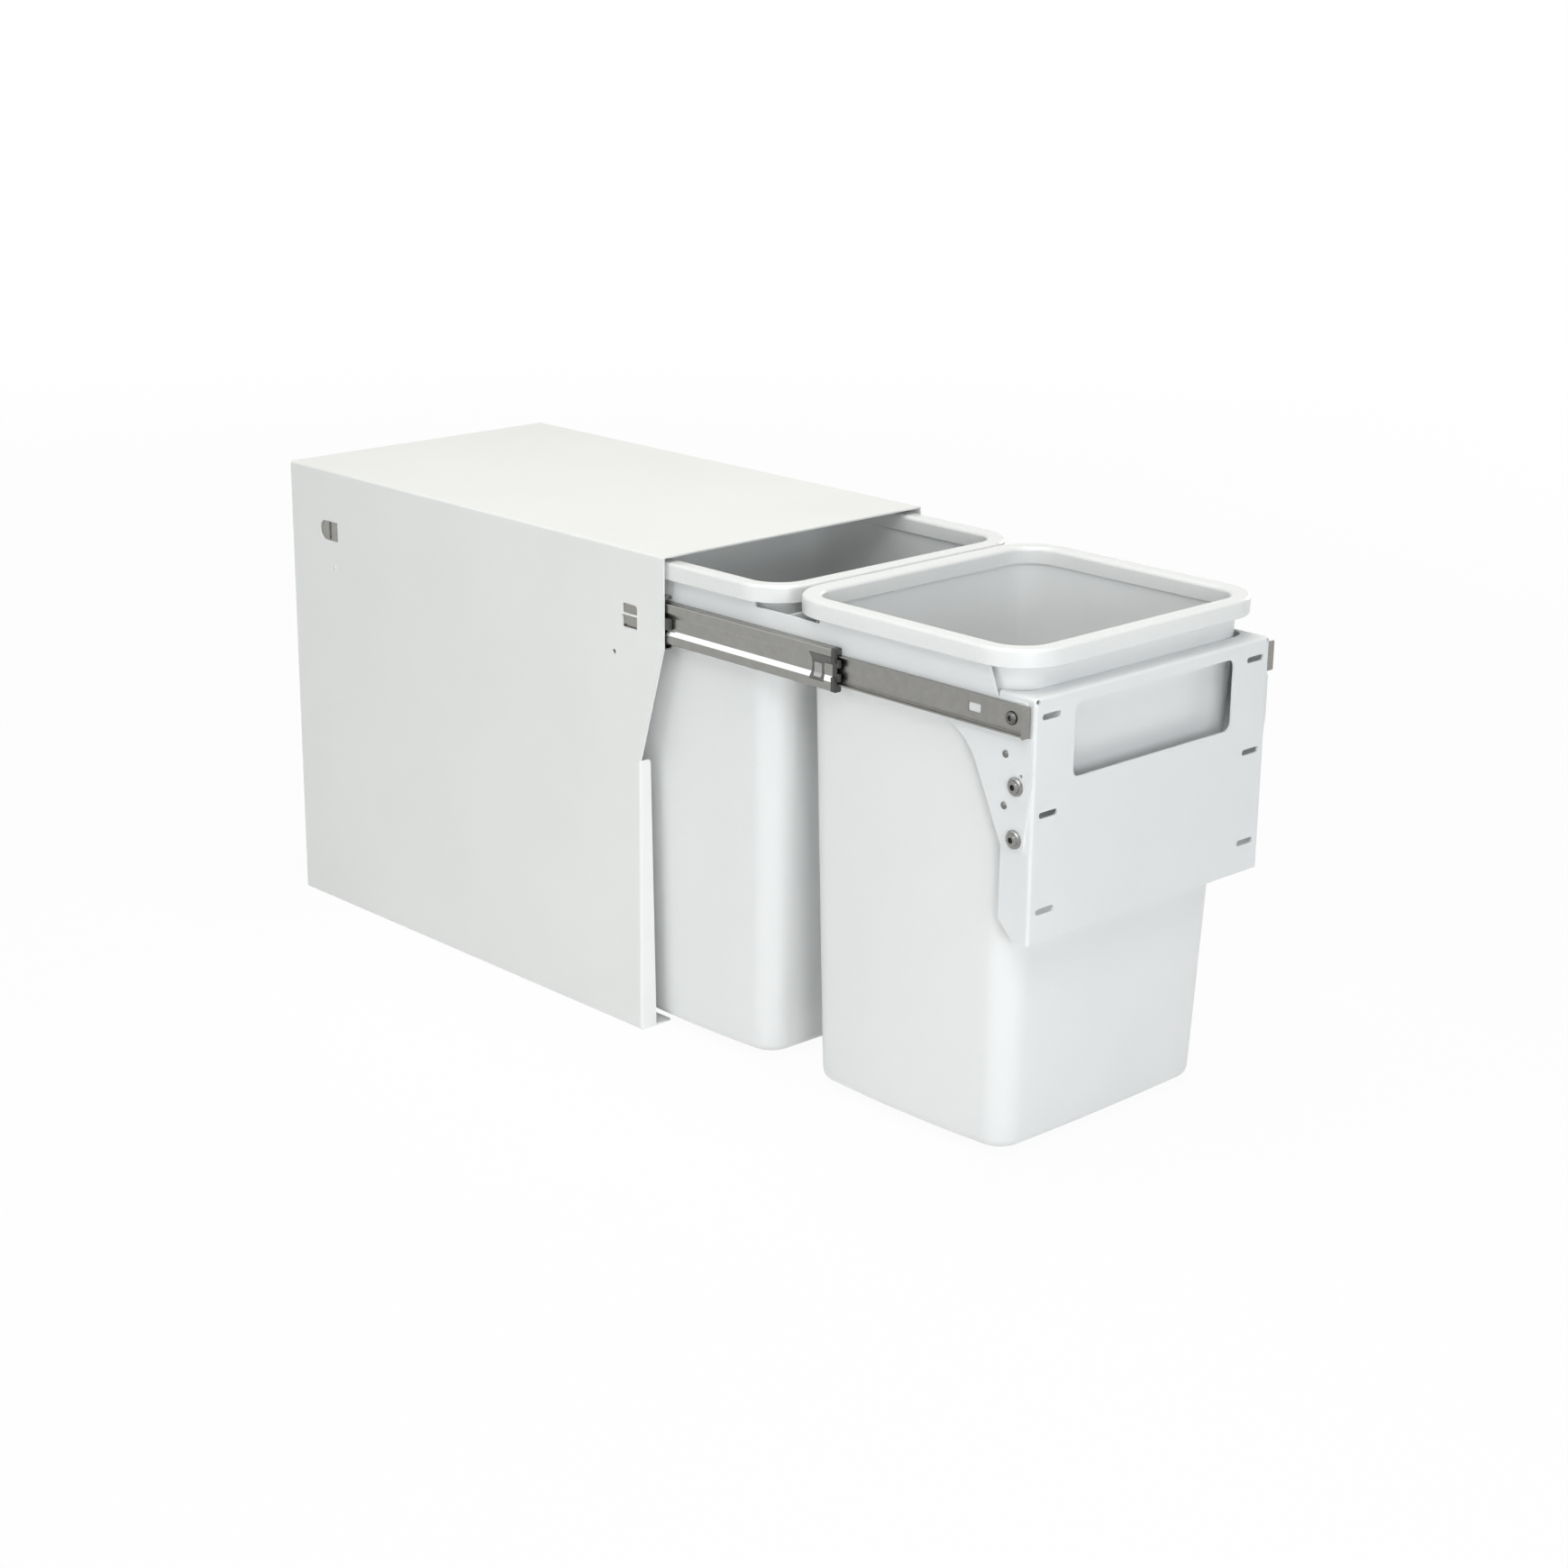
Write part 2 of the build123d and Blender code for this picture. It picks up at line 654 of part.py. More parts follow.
# ---------------------------------------------------------------- inner rails
side_face_depth = wall_inside - side_outer
inner_path = [
    (side_face_depth - inner_depth, inner_half_height - rail_sheet / 2),
    (side_face_depth - rail_sheet / 2, inner_half_height - rail_sheet / 2),
    (side_face_depth - rail_sheet / 2, -inner_half_height + rail_sheet / 2),
    (side_face_depth - inner_depth, -inner_half_height + rail_sheet / 2),
]
rail_screw_y = plate_face + rail_screw_back
rail_rivet_back = carrier_back - rail_rivet_end_gap
rail_rivet_places = (rail_rivet_back - rail_rivet_pitch, rail_rivet_back)
with BuildPart() as inner_rail:
    folded_rail(inner_path, inner_front + inner_rail_length, inner_rail_length)
    # folded front end, which closes the channel and stands out towards the casing's wall
    with BuildSketch(Plane.XZ.offset(-inner_front - rail_sheet)):
        rail_bar(inner_tab_gap, side_face_depth, inner_half_height)
        fillet(vertices(), radius=rail_sheet / 2)
    extrude(amount=rail_sheet)
    with BuildSketch(Plane.YZ.offset(-side_outer)):
        with Locations((plate_face + rail_window_back, slide_height)):
            Rectangle(rail_window_length, rail_window_height)
        with Locations((rail_screw_y, slide_height)):
            Circle(rail_screw_radius + shank_clearance)
        for place in rail_rivet_places:
            with Locations((place, slide_height)):
                Circle(rail_rivet_radius + shank_clearance)
    extrude(amount=-2 * rail_sheet, mode=Mode.SUBTRACT)
save_pair(inner_rail, "inner_rail")

# ---------------------------------------------------------------- side plates of the carrier
notch_front = plate_face + ring_front + ring_length - notch_ahead
notch_back = plate_face + ring_front + bucket_pitch + notch_behind
tail_start = plate_face + ring_front + bucket_pitch + ring_length - notch_ahead
adjuster_y = plate_face + adjuster_back
rear_rivet_y = carrier_back - rear_rivet_end_gap
rear_rivet_low = slide_height + rear_rivet_rise
rear_rivet_heights = (rear_rivet_low, rear_rivet_low + rear_rivet_pitch)
pin_y = plate_face + pin_back
with BuildPart() as side_plate:
    with BuildSketch(Plane.YZ.offset(-side_outer)):
        with BuildLine():
            Polyline(
                (plate_face + arm_tip_front, arm_low),
                (plate_face + arm_front, arm_low + arm_tip_slant),
                (plate_face + arm_front, band_low),
                (plate_face + arm_tip_front, band_low),
                (plate_face + arm_tip_front, shoulder_height),
                (plate_face + shoulder_back, shoulder_height),
                (plate_face + brow_back - brow_slant, notch_height),
                (plate_face + brow_back, hang_height),
                (notch_front, hang_height),
                (notch_front, notch_height),
                (notch_back, notch_height),
                (notch_back, hang_height),
                (tail_start, hang_height),
                (tail_start, notch_height),
                (carrier_back, notch_height),
                (carrier_back, band_low),
                (plate_face + arm_waist_back, band_low),
                (plate_face + arm_tip_back, arm_low),
                close=True,
            )
        make_face()
        waist = vertices().sort_by_distance((plate_face + arm_waist_back, band_low))[0]
        fillet(waist, radius=arm_fillet)
        tips = vertices().group_by(Axis.Y)[0]
        fillet(tips, radius=arm_corner)
        brow = vertices().sort_by_distance((plate_face + arm_front, band_low))[0]
        fillet(brow, radius=arm_corner - 1)
        with Locations((rail_screw_y, slide_height)):
            Circle(rail_screw_radius + shank_clearance, mode=Mode.SUBTRACT)
        for place in rail_rivet_places:
            with Locations((place, slide_height)):
                Circle(rail_rivet_radius + shank_clearance, mode=Mode.SUBTRACT)
        for step in range(2):
            with Locations((adjuster_y, adjuster_low + step * adjuster_pitch)):
                Circle(adjuster_shank_radius + shank_clearance, mode=Mode.SUBTRACT)
            with Locations((pin_y, pin_low + step * pin_pitch)):
                Circle(pin_radius + shank_clearance, mode=Mode.SUBTRACT)
        with Locations((plate_face + index_hole_back, adjuster_high + index_hole_above)):
            Circle(index_hole_radius, mode=Mode.SUBTRACT)
        for height in rear_rivet_heights:
            with Locations((rear_rivet_y, height)):
                Circle(rail_rivet_radius + shank_clearance, mode=Mode.SUBTRACT)
    extrude(amount=side_sheet)
save_pair(side_plate, "side_plate")

# ---------------------------------------------------------------- front plate
with BuildPart() as door_plate:
    with Locations((0, plate_face + plate_depth / 2, plate_middle)):
        Box(2 * side_inner, plate_depth, plate_high - plate_low)
    front_edges = door_plate.edges().group_by(Axis.Y)[0]
    bottom_edge = front_edges.sort_by(Axis.Z)[0]
    top_side_edges = door_plate.edges().filter_by(Axis.Y).group_by(Axis.Z)[-1]
    folds = [edge for edge in front_edges if edge.center().Z > plate_low + 1] + list(top_side_edges)
    fillet(folds, radius=plate_bend)
    open_faces = [
        door_plate.faces().sort_by(Axis.Y)[-1],
        door_plate.faces().sort_by(Axis.Z)[0],
    ]
    offset(amount=-plate_sheet, openings=open_faces)

    # rear edge of the side flanges
    with BuildSketch(Plane.YZ):
        with BuildLine():
            Polyline(
                (plate_face + plate_depth + 1, plate_step_high),
                (plate_face + plate_depth, plate_step_high),
                (plate_face + plate_flange_depth, plate_step_high - plate_step_slant),
                (plate_face + plate_flange_depth, plate_low + plate_chamfer_height),
                (plate_face + plate_chamfer_depth, plate_low),
                (plate_face + plate_chamfer_depth, plate_low - 1),
                (plate_face + plate_depth + 1, plate_low - 1),
                close=True,
            )
        make_face()
    extrude(amount=case_width, both=True, mode=Mode.SUBTRACT)

    # the shelf follows the bucket that stands behind it
    share = (plate_high - bucket_floor) / (bucket_top - bucket_floor)
    shelf_hole_width = bucket_low_width + share * (bucket_top_width - bucket_low_width)
    shelf_hole_length = bucket_low_length + share * (bucket_top_length - bucket_low_length)
    shelf_hole_middle = ring_middle + (1 - share) * bucket_low_set_back
    with BuildSketch(Plane.XY.offset(plate_high + 1)):
        rounded_outline(
            shelf_hole_width + 2 * shelf_clearance,
            shelf_hole_length + 2 * shelf_clearance,
            shelf_corner,
            shelf_hole_middle,
        )
    extrude(amount=-plate_sheet - 2, mode=Mode.SUBTRACT)

    # window and the slots that the door is screwed through
    with BuildSketch(Plane.XZ.offset(-plate_face + 1)):
        with Locations((0, slide_height - window_drop)):
            RectangleRounded(window_width, window_height, window_corner)
        with Locations((0, plate_middle + door_slot_rise)):
            with GridLocations(door_slot_span, door_slot_pitch, 2, 3):
                SlotOverall(door_slot_length, 2 * door_slot_radius)
        for side in (-1, 1):
            with Locations((side * (side_inner - plate_bend), plate_high - plate_bend)):
                Circle(relief_radius)
    extrude(amount=-plate_sheet - 2, mode=Mode.SUBTRACT)

    # holes in the side flanges
    with BuildSketch(Plane.YZ):
        with Locations((rail_screw_y, slide_height)):
            Circle(rail_screw_radius + shank_clearance)
        with Locations((plate_face + index_hole_back, adjuster_high + index_hole_above)):
            Circle(index_hole_radius)
        for step in range(2):
            with Locations((adjuster_y, adjuster_low + step * adjuster_pitch)):
                Circle(adjuster_shank_radius + shank_clearance)
            with Locations((pin_y, pin_low + step * pin_pitch)):
                Circle(pin_radius + shank_clearance)
    extrude(amount=case_width, both=True, mode=Mode.SUBTRACT)
save(door_plate, "door_plate")

# ---------------------------------------------------------------- cross members
rear_plate_low = slide_height - rear_plate_drop
rear_plate_middle = carrier_back - rear_plate_end_gap - rear_plate_depth / 2
with BuildPart() as rear_plate:
    with Locations((0, rear_plate_middle, (rear_plate_low + cross_high) / 2)):
        Box(2 * side_inner, rear_plate_depth, cross_high - rear_plate_low)
    open_faces = [
        rear_plate.faces().sort_by(Axis.Y)[-1],
        rear_plate.faces().sort_by(Axis.Z)[-1],
    ]
    offset(amount=-cross_sheet, openings=open_faces)
    with BuildSketch(Plane.YZ):
        for height in rear_rivet_heights:
            with Locations((rear_rivet_y, height)):
                Circle(rail_rivet_radius + shank_clearance)
    extrude(amount=case_width, both=True, mode=Mode.SUBTRACT)
save(rear_plate, "rear_plate")

bar_low = slide_height - bar_drop
bar_middle = ring_gap_middle + (bar_depth - cross_sheet) / 2
with BuildPart() as centre_bar:
    with Locations((0, bar_middle, (bar_low + cross_high) / 2)):
        Box(2 * side_inner, bar_depth, cross_high - bar_low)
    open_faces = [
        centre_bar.faces().sort_by(Axis.Y)[-1],
        centre_bar.faces().sort_by(Axis.Z)[-1],
        centre_bar.faces().sort_by(Axis.Z)[0],
    ]
    offset(amount=-cross_sheet, openings=open_faces)
save(centre_bar, "centre_bar")

# ---------------------------------------------------------------- fasteners
with BuildPart() as adjusting_screws:
    for step in range(2):
        place = (adjuster_y, adjuster_low + step * adjuster_pitch)
        with BuildSketch(Plane.YZ.offset(-side_outer)):
            with Locations(place):
                Circle(adjuster_flange_radius)
        extrude(amount=-adjuster_flange)
        with BuildSketch(Plane.YZ.offset(-side_outer - adjuster_flange)):
            with Locations(place):
                Circle(adjuster_head_radius)
        extrude(amount=-adjuster_head, taper=adjuster_head_taper)
        with BuildSketch(Plane.YZ.offset(-side_outer)):
            with Locations(place):
                Circle(adjuster_shank_radius)
        extrude(amount=adjuster_shank)
        with BuildSketch(Plane.YZ.offset(-side_outer - adjuster_flange - adjuster_head)):
            with Locations(place):
                RegularPolygon(adjuster_socket_radius, 6)
        extrude(amount=adjuster_socket_depth, mode=Mode.SUBTRACT)
save_pair(adjusting_screws, "adjusting_screws")

with BuildPart() as clinch_nuts:
    with BuildSketch(Plane.YZ.offset(-side_inner + plate_sheet)):
        for step in range(2):
            with Locations((adjuster_y, adjuster_low + step * adjuster_pitch)):
                RegularPolygon(nut_flat_radius, 6)
                Circle(adjuster_shank_radius + shank_clearance, mode=Mode.SUBTRACT)
    extrude(amount=nut_thickness)
save_pair(clinch_nuts, "clinch_nuts")

with BuildPart() as locating_pins:
    for step in range(2):
        place = (pin_y, pin_low + step * pin_pitch)
        with BuildSketch(Plane.YZ.offset(-side_outer)):
            with Locations(place):
                Circle(pin_head_radius)
        extrude(amount=-pin_head, taper=rivet_head_taper)
        with BuildSketch(Plane.YZ.offset(-side_outer)):
            with Locations(place):
                Circle(pin_radius)
        extrude(amount=side_sheet + plate_sheet + pin_head)
save_pair(locating_pins, "locating_pins")

rail_web_face = side_outer + rail_sheet
with BuildPart() as rail_screw:
    with BuildSketch(Plane.YZ.offset(-rail_web_face)):
        with Locations((rail_screw_y, slide_height)):
            Circle(rail_screw_head_radius)
    extrude(amount=-rail_screw_head, taper=rivet_head_taper)
    with BuildSketch(Plane.YZ.offset(-rail_web_face)):
        with Locations((rail_screw_y, slide_height)):
            Circle(rail_screw_radius)
    extrude(amount=rail_screw_length)
    with BuildSketch(Plane.YZ.offset(-rail_web_face - rail_screw_head)):
        with Locations((rail_screw_y, slide_height)):
            RegularPolygon(rail_screw_socket_radius, 6)
    extrude(amount=rail_screw_head / 2, mode=Mode.SUBTRACT)
save_pair(rail_screw, "rail_screw")

with BuildPart() as rail_rivets:
    for place in rail_rivet_places:
        spot = (place, slide_height)
        with BuildSketch(Plane.YZ.offset(-rail_web_face)):
            with Locations(spot):
                Circle(rail_rivet_head_radius)
        extrude(amount=-rail_rivet_head, taper=rivet_head_taper)
        with BuildSketch(Plane.YZ.offset(-rail_web_face)):
            with Locations(spot):
                Circle(rail_rivet_radius)
        extrude(amount=rail_sheet + side_sheet + rail_rivet_tail)
save_pair(rail_rivets, "rail_rivets")

with BuildPart() as rear_rivets:
    for height in rear_rivet_heights:
        spot = (rear_rivet_y, height)
        with BuildSketch(Plane.YZ.offset(-side_outer)):
            with Locations(spot):
                Circle(rail_rivet_head_radius)
        extrude(amount=-rail_rivet_head, taper=rivet_head_taper)
        with BuildSketch(Plane.YZ.offset(-side_outer)):
            with Locations(spot):
                Circle(rail_rivet_radius)
        extrude(amount=side_sheet + cross_sheet + rail_rivet_tail)
save_pair(rear_rivets, "rear_plate_rivets")

# ---------------------------------------------------------------- buckets and liner rings
bucket_names = ("front", "rear")
for bucket_name, middle in zip(bucket_names, ring_middles):
    outside = bucket_body(middle, 0)
    hollow = bucket_body(middle, bucket_wall)
    with BuildPart() as bucket:
        add(outside)
        with BuildSketch(Plane.XY.offset(hang_height)):
            rounded_outline(
                ring_width - 2 * lip_reach,
                ring_length - 2 * lip_reach,
                ring_corner - lip_reach,
                middle,
            )
        extrude(amount=bucket_wall)
        with BuildSketch(Plane.XY.offset(hang_height - lip_skirt)):
            rounded_outline(
                ring_width - 2 * lip_reach,
                ring_length - 2 * lip_reach,
                ring_corner - lip_reach,
                middle,
            )
            with Locations((0, middle)):
                RectangleRounded(
                    ring_width - 2 * lip_reach - 2 * bucket_wall,
                    ring_length - 2 * lip_reach - 2 * bucket_wall,
                    ring_corner - lip_reach - bucket_wall,
                    mode=Mode.SUBTRACT,
                )
        extrude(amount=lip_skirt)
        add(hollow, mode=Mode.SUBTRACT)
    save(bucket, f"{bucket_name}_bucket")

    with BuildPart() as ring:
        with BuildSketch(Plane.XY.offset(ring_low)):
            rounded_outline(ring_width, ring_length, ring_corner, middle)
            with Locations((0, middle)):
                RectangleRounded(
                    ring_width - 2 * ring_band,
                    ring_length - 2 * ring_band,
                    ring_corner - ring_band,
                    mode=Mode.SUBTRACT,
                )
        extrude(amount=ring_height)
        top_face = ring.faces().sort_by(Axis.Z)[-1]
        fillet(top_face.outer_wire().edges(), radius=ring_outer_round)
        top_face = ring.faces().filter_by(Axis.Z).sort_by(Axis.Z)[-1]
        fillet(top_face.inner_wires()[0].edges(), radius=ring_inner_round)
        # channel that goes over the bucket's lip
        with BuildSketch(Plane.XY.offset(ring_low)):
            rounded_outline(
                ring_width - 2 * ring_skirt,
                ring_length - 2 * ring_skirt,
                ring_corner - ring_skirt,
                middle,
            )
            with Locations((0, middle)):
                RectangleRounded(
                    ring_width - 2 * ring_band + 2 * ring_skirt,
                    ring_length - 2 * ring_band + 2 * ring_skirt,
                    ring_corner - ring_band + ring_skirt,
                    mode=Mode.SUBTRACT,
                )
        extrude(amount=bucket_top - ring_low, mode=Mode.SUBTRACT)
    save(ring, f"{bucket_name}_liner_ring")
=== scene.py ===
import math

import bmesh
import bpy
from mathutils import Matrix, Vector


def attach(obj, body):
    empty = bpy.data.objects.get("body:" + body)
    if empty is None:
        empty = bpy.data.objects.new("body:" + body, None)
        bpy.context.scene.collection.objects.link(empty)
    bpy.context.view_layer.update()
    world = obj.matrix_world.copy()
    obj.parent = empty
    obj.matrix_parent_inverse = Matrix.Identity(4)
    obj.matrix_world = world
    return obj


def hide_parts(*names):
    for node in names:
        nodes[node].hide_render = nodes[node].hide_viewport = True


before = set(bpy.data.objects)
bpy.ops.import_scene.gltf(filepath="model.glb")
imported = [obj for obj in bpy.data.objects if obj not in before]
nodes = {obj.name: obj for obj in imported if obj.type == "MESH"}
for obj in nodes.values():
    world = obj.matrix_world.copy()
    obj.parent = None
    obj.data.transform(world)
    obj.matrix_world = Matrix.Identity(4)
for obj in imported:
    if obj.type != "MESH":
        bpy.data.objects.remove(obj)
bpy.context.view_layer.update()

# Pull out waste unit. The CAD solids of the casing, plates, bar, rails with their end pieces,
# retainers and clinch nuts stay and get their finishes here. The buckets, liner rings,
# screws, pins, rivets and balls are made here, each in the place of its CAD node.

MM = 0.001
SIDES = (("left", -1), ("right", 1))

# ---------------------------------------------------------------- sizes, millimetres
SLIDE_HEIGHT = 315.8           # centre line of the slides
SLIDE_WALL = 128.8             # inner face of the casing's sides
CASE_FRONT = -240.5
MID_FRONT = -406.25            # front end of the intermediate rails
PLATE_FACE = -581.0            # front plate's outer face
SIDE_OUTER = 120.3             # outer face of the carrier's side plates
RAIL_FACE = 121.3              # outer face of the inner rails' webs

# liner rings: a band with an outer and an inner skirt
RING_WIDTH = 251.4
RING_LENGTH = 221.8
RING_CORNER = 36.8
RING_TOP = 359.4
RING_LOW = 347.1
RING_BAND = 13.6               # across both skirts
RING_SKIRT = 1.3               # thickness of each
RING_OUTER_ROUND = 2.3         # of the band's upper edges
RING_INNER_ROUND = 3.2
RING_LOW_EDGE = 0.35           # bevels of the skirts' lower edges, outside
RING_LOW_BEVEL = (0.1, 0.2)    # and inside, across and up
RING_CHANNEL_EDGE = 0.6        # in the corners of the channel that takes the bucket's lip
RING_OUTER_STEPS = 6
RING_INNER_STEPS = 8
RING_CORNER_STEPS = 20
RING_GAP = 5.0                 # behind the front plate's outer face
RING_MIDDLE = PLATE_FACE + RING_GAP + RING_LENGTH / 2
BUCKET_PITCH = 225.0           # from the front bucket to the rear one

# outside of a bucket: each size at the floor, and how much it grows up to the top
BUCKET_WIDTH = (206.0, 25.8)
BUCKET_LENGTH = (180.8, 21.1)
BUCKET_CORNER = (18.0, 6.5)
BUCKET_SIDE_BOW = (4.1, -3.9)
BUCKET_END_BOW = (1.8, -1.6)
BUCKET_SET_BACK = 4.5          # how far the floor lies behind the ring's middle
BUCKET_FLOOR = 5.0
BUCKET_TOP = 357.8
BUCKET_WALL = 1.6
BUCKET_ROUND = 8.0             # between the floor and the walls, outside
BUCKET_OUTER_STEPS = 8
BUCKET_INNER_STEPS = 6
LEAST_CORNER = 2.0             # of a row that is set in far
WALL_HEIGHTS = (30, 70, 120, 170, 220, 270, 310, 338, 349, 353.4)
# the raised panel underneath, with its foot rim: inset from the outside, and lift
FOOT_PANEL = ((34.0, 2.2), (15.0, 2.2), (13.2, 1.8), (12.0, 0.4), (10.8, 0.0))
# the shallow panel in the floor: inset from the inside, and lift
FLOOR_PANEL = ((12.0, 0.0), (13.4, 0.7), (34.0, 0.7))
FLOOR_RISE = 0.6               # from the walls' round up to the panel
LIP_SEAT = 356.2               # underside of the lip
LIP_SKIRT_END = 349.8
LIP_SETBACK = 1.7              # from the ring's outside to the lip's
LIP_EDGE = 0.8                 # bevel along the lip's upper edges
LIP_FILLET = ((355.2, -0.3), (LIP_SEAT, -1.3))    # height and inset

# turned parts: (along, radius) from the inner end to the face
FLANGE_SCREW = [
    (-8.5, 2.3), (-8.2, 2.5), (0.0, 2.5), (0.0, 6.1), (0.25, 6.4), (0.9, 6.4), (1.2, 6.1),
    (1.45, 4.9), (1.6, 4.5), (3.0, 4.2), (3.6, 3.5),
]
FLANGE_WAVES = (6.0, 0.28)     # least radius that is waved, and the waves' depth
FLANGE_SOCKET = (2.1, 2.0)     # radius and depth
RAIL_SCREW = [
    (-5.0, 1.7), (-4.6, 2.0), (0.0, 2.0), (0.0, 4.4), (0.2, 4.6), (0.8, 4.5), (1.5, 4.0),
    (2.1, 3.0),
]
RAIL_SOCKET = (1.8, 1.3)
PIN_SHANK = [(-3.8, 1.6), (-3.4, 2.0), (0.0, 2.0), (0.0, 2.6)]
RAIL_RIVET_SHANK = [(-3.4, 1.5), (-3.0, 2.0), (0.0, 2.0), (0.0, 3.1)]
REAR_RIVET_SHANK = [(-3.8, 1.5), (-3.4, 2.0), (0.0, 2.0), (0.0, 3.1)]
PIN_HEAD = 2.6                 # radius of the domed head
RIVET_HEAD = 3.2
DOME_HEIGHT = 0.9
DOME_START = 0.05              # from the face that the head sits on
DOME_SWEEP = 80.0              # degrees, up to the flat at the top
DOME_STEPS = 5
SOCKET_FLATS = 6
SOCKET_BEVEL = (0.15, 1.06)    # depth, and the rim's share of the socket's radius
SOCKET_OUTSIDE = 0.5           # faces nearer to the side plate than this aren't the socket's
SCREW_SEGMENTS = 48
PIN_SEGMENTS = 28

# places of the turned parts, and the step from the first to the second
FLANGE_SCREW_AT = (SIDE_OUTER, PLATE_FACE + 13.5, 235.8)
FLANGE_SCREW_STEP = (0, 0, 35.3)
PIN_AT = (SIDE_OUTER, PLATE_FACE + 23.0, 256.4)
PIN_STEP = (0, 0, 34.3)
RAIL_SCREW_AT = (RAIL_FACE, PLATE_FACE + 18.0, SLIDE_HEIGHT)
RAIL_RIVET_AT = (RAIL_FACE, PLATE_FACE + 278.0, SLIDE_HEIGHT)
RAIL_RIVET_STEP = (0, 150.0, 0)
REAR_RIVET_AT = (SIDE_OUTER, PLATE_FACE + 453.0, 316.0)
REAR_RIVET_STEP = (0, 0, 22.0)

# balls: each retainer holds an upper and a lower row
BALL_RADIUS = 1.6
BALL_SEGMENTS = 16
BALL_RINGS = 10
BALL_PITCH = 21.0
BALLS_IN_ROW = 10
BALL_END_GAP = 5.5             # from the retainer's front end to its first ball
# name, body, distance from the casing's wall, height above the centre line, retainer's front
BALL_ROWS = (
    ("outer", "outer_retainers", 4.2, 16.7, CASE_FRONT + 40.0),
    ("inner", "inner_retainers", 5.95, 12.1, MID_FRONT + 37.5),
)

# slopes of the rails' lower beads, which get a painted highlight strip of lighter steel, chosen
# by their normals
HIGHLIGHT_LEAST_OUTWARD = 0.25           # least part that faces outwards
MID_RAIL_HIGHLIGHT_NORMALS = (0.25, 0.97)  # range of the part that faces up
INNER_RAIL_HIGHLIGHT_NORMALS = (-0.97, -0.3)

SMOOTH_ANGLE = 35.0            # degrees: edges sharper than this stay sharp
BALL_SMOOTH_ANGLE = 60.0
MERGE_DISTANCE = 1e-6          # metres: points nearer than this become one

# ---------------------------------------------------------------- studio, metres
FLOOR_SIZE = 40.0
FLOOR_LEVEL = -0.0006
PAPER = (0.86, 0.86, 0.86)
PAPER_FADE = (0.8, 3.0)        # distances over which the paper turns plain white
PAPER_WHITE = (0.95, 1.0)      # share of plain white that is seen, near and far
WHITE = (1.0, 1.0, 1.0)
STUDIO_LIGHT = (0.97, 0.985, 1.0)
STUDIO_LEVEL = 0.07
# name, place, target, width, height, watts, colour
LAMPS = (
    ("top_box", (-0.1, -0.2, 2.3), (-0.1, -0.2, 0.3), 1.6, 1.6, 28.7, (1.0, 0.99, 0.93)),
    ("high_box", (-1.3, -1.5, 1.9), (0.0, -0.3, 0.3), 1.2, 1.0, 17.0, WHITE),
    ("front_box", (-1.35, -2.6, 0.6), (0.0, -0.35, 0.2), 0.7, 0.7, 16.0, WHITE),
    ("low_front_box", (-0.35, -2.9, 0.8), (0.0, -0.35, 0.2), 1.0, 0.8, 9.5, (0.9, 0.96, 1.0)),
    ("left_box", (-2.6, 0.1, 0.8), (0.0, -0.2, 0.2), 1.2, 1.1, 11.0, (0.95, 0.98, 1.0)),
    ("back_left_box", (-2.05, 1.88, 1.58), (-0.13, -0.33, 0.31), 1.6, 1.4, 3.0,
     (0.98, 0.99, 1.0)),
    ("right_box", (2.6, 0.0, 0.8), (0.0, -0.1, 0.2), 1.2, 1.1, 12.0, WHITE),
)
CAMERA_PLACE = (-1.4469, -1.7417, 0.829)
CAMERA_TURN = (-43.73, 17.53, 0.615)    # azimuth, elevation and roll in degrees
LENS = 67.03                   # in millimetres, as is the sensor's width
SENSOR_WIDTH = 36.0
CLIP_NEAR = 0.05
CLIP_FAR = 90.0


# ---------------------------------------------------------------- finishes
EVEN = (1.0, 1.0, 1.0)         # stretch of a grain that runs no way
FLOW_STRETCH = (1.0, 1.0, 0.35)
SINK_STRETCH = (1.0, 1.0, 0.6)
ROLLING_STRETCH = (70.0, 1.2, 70.0)
NOISE_MIDDLE = (0.3, 0.7)      # the range that nearly all of a noise lies in
COAT_ROUGHNESS = 0.24
BUCKET_GLOSS = 0.6
BUCKET_GLOSS_COAT = 0.5


def new_finish(name):
    """A material with its node tree, its shader and a coordinate node."""
    material = bpy.data.materials.new(name)
    material.use_nodes = True
    tree = material.node_tree
    tree.nodes.clear()
    output = tree.nodes.new("ShaderNodeOutputMaterial")
    shader = tree.nodes.new("ShaderNodeBsdfPrincipled")
    place = tree.nodes.new("ShaderNodeTexCoord")
    tree.links.new(shader.outputs["BSDF"], output.inputs["Surface"])
    return material, tree, shader, place


def grain(tree, place, stretch, scale, detail, roughness=0.5):
    """Noise on the object's own coordinates, stretched along the given axes."""
    mapping = tree.nodes.new("ShaderNodeMapping")
    mapping.inputs["Scale"].default_value = stretch
    noise = tree.nodes.new("ShaderNodeTexNoise")
    noise.inputs["Scale"].default_value = scale
    noise.inputs["Detail"].default_value = detail
    noise.inputs["Roughness"].default_value = roughness
    tree.links.new(place.outputs["Object"], mapping.inputs["Vector"])
    tree.links.new(mapping.outputs["Vector"], noise.inputs["Vector"])
    return noise.outputs["Fac"]


def remap(tree, value, given, wanted):
    """Maps a value from the given range onto the wanted one."""
    node = tree.nodes.new("ShaderNodeMapRange")
    node.inputs["From Min"].default_value, node.inputs["From Max"].default_value = given
    node.inputs["To Min"].default_value, node.inputs["To Max"].default_value = wanted
    tree.links.new(value, node.inputs["Value"])
    return node.outputs["Result"]


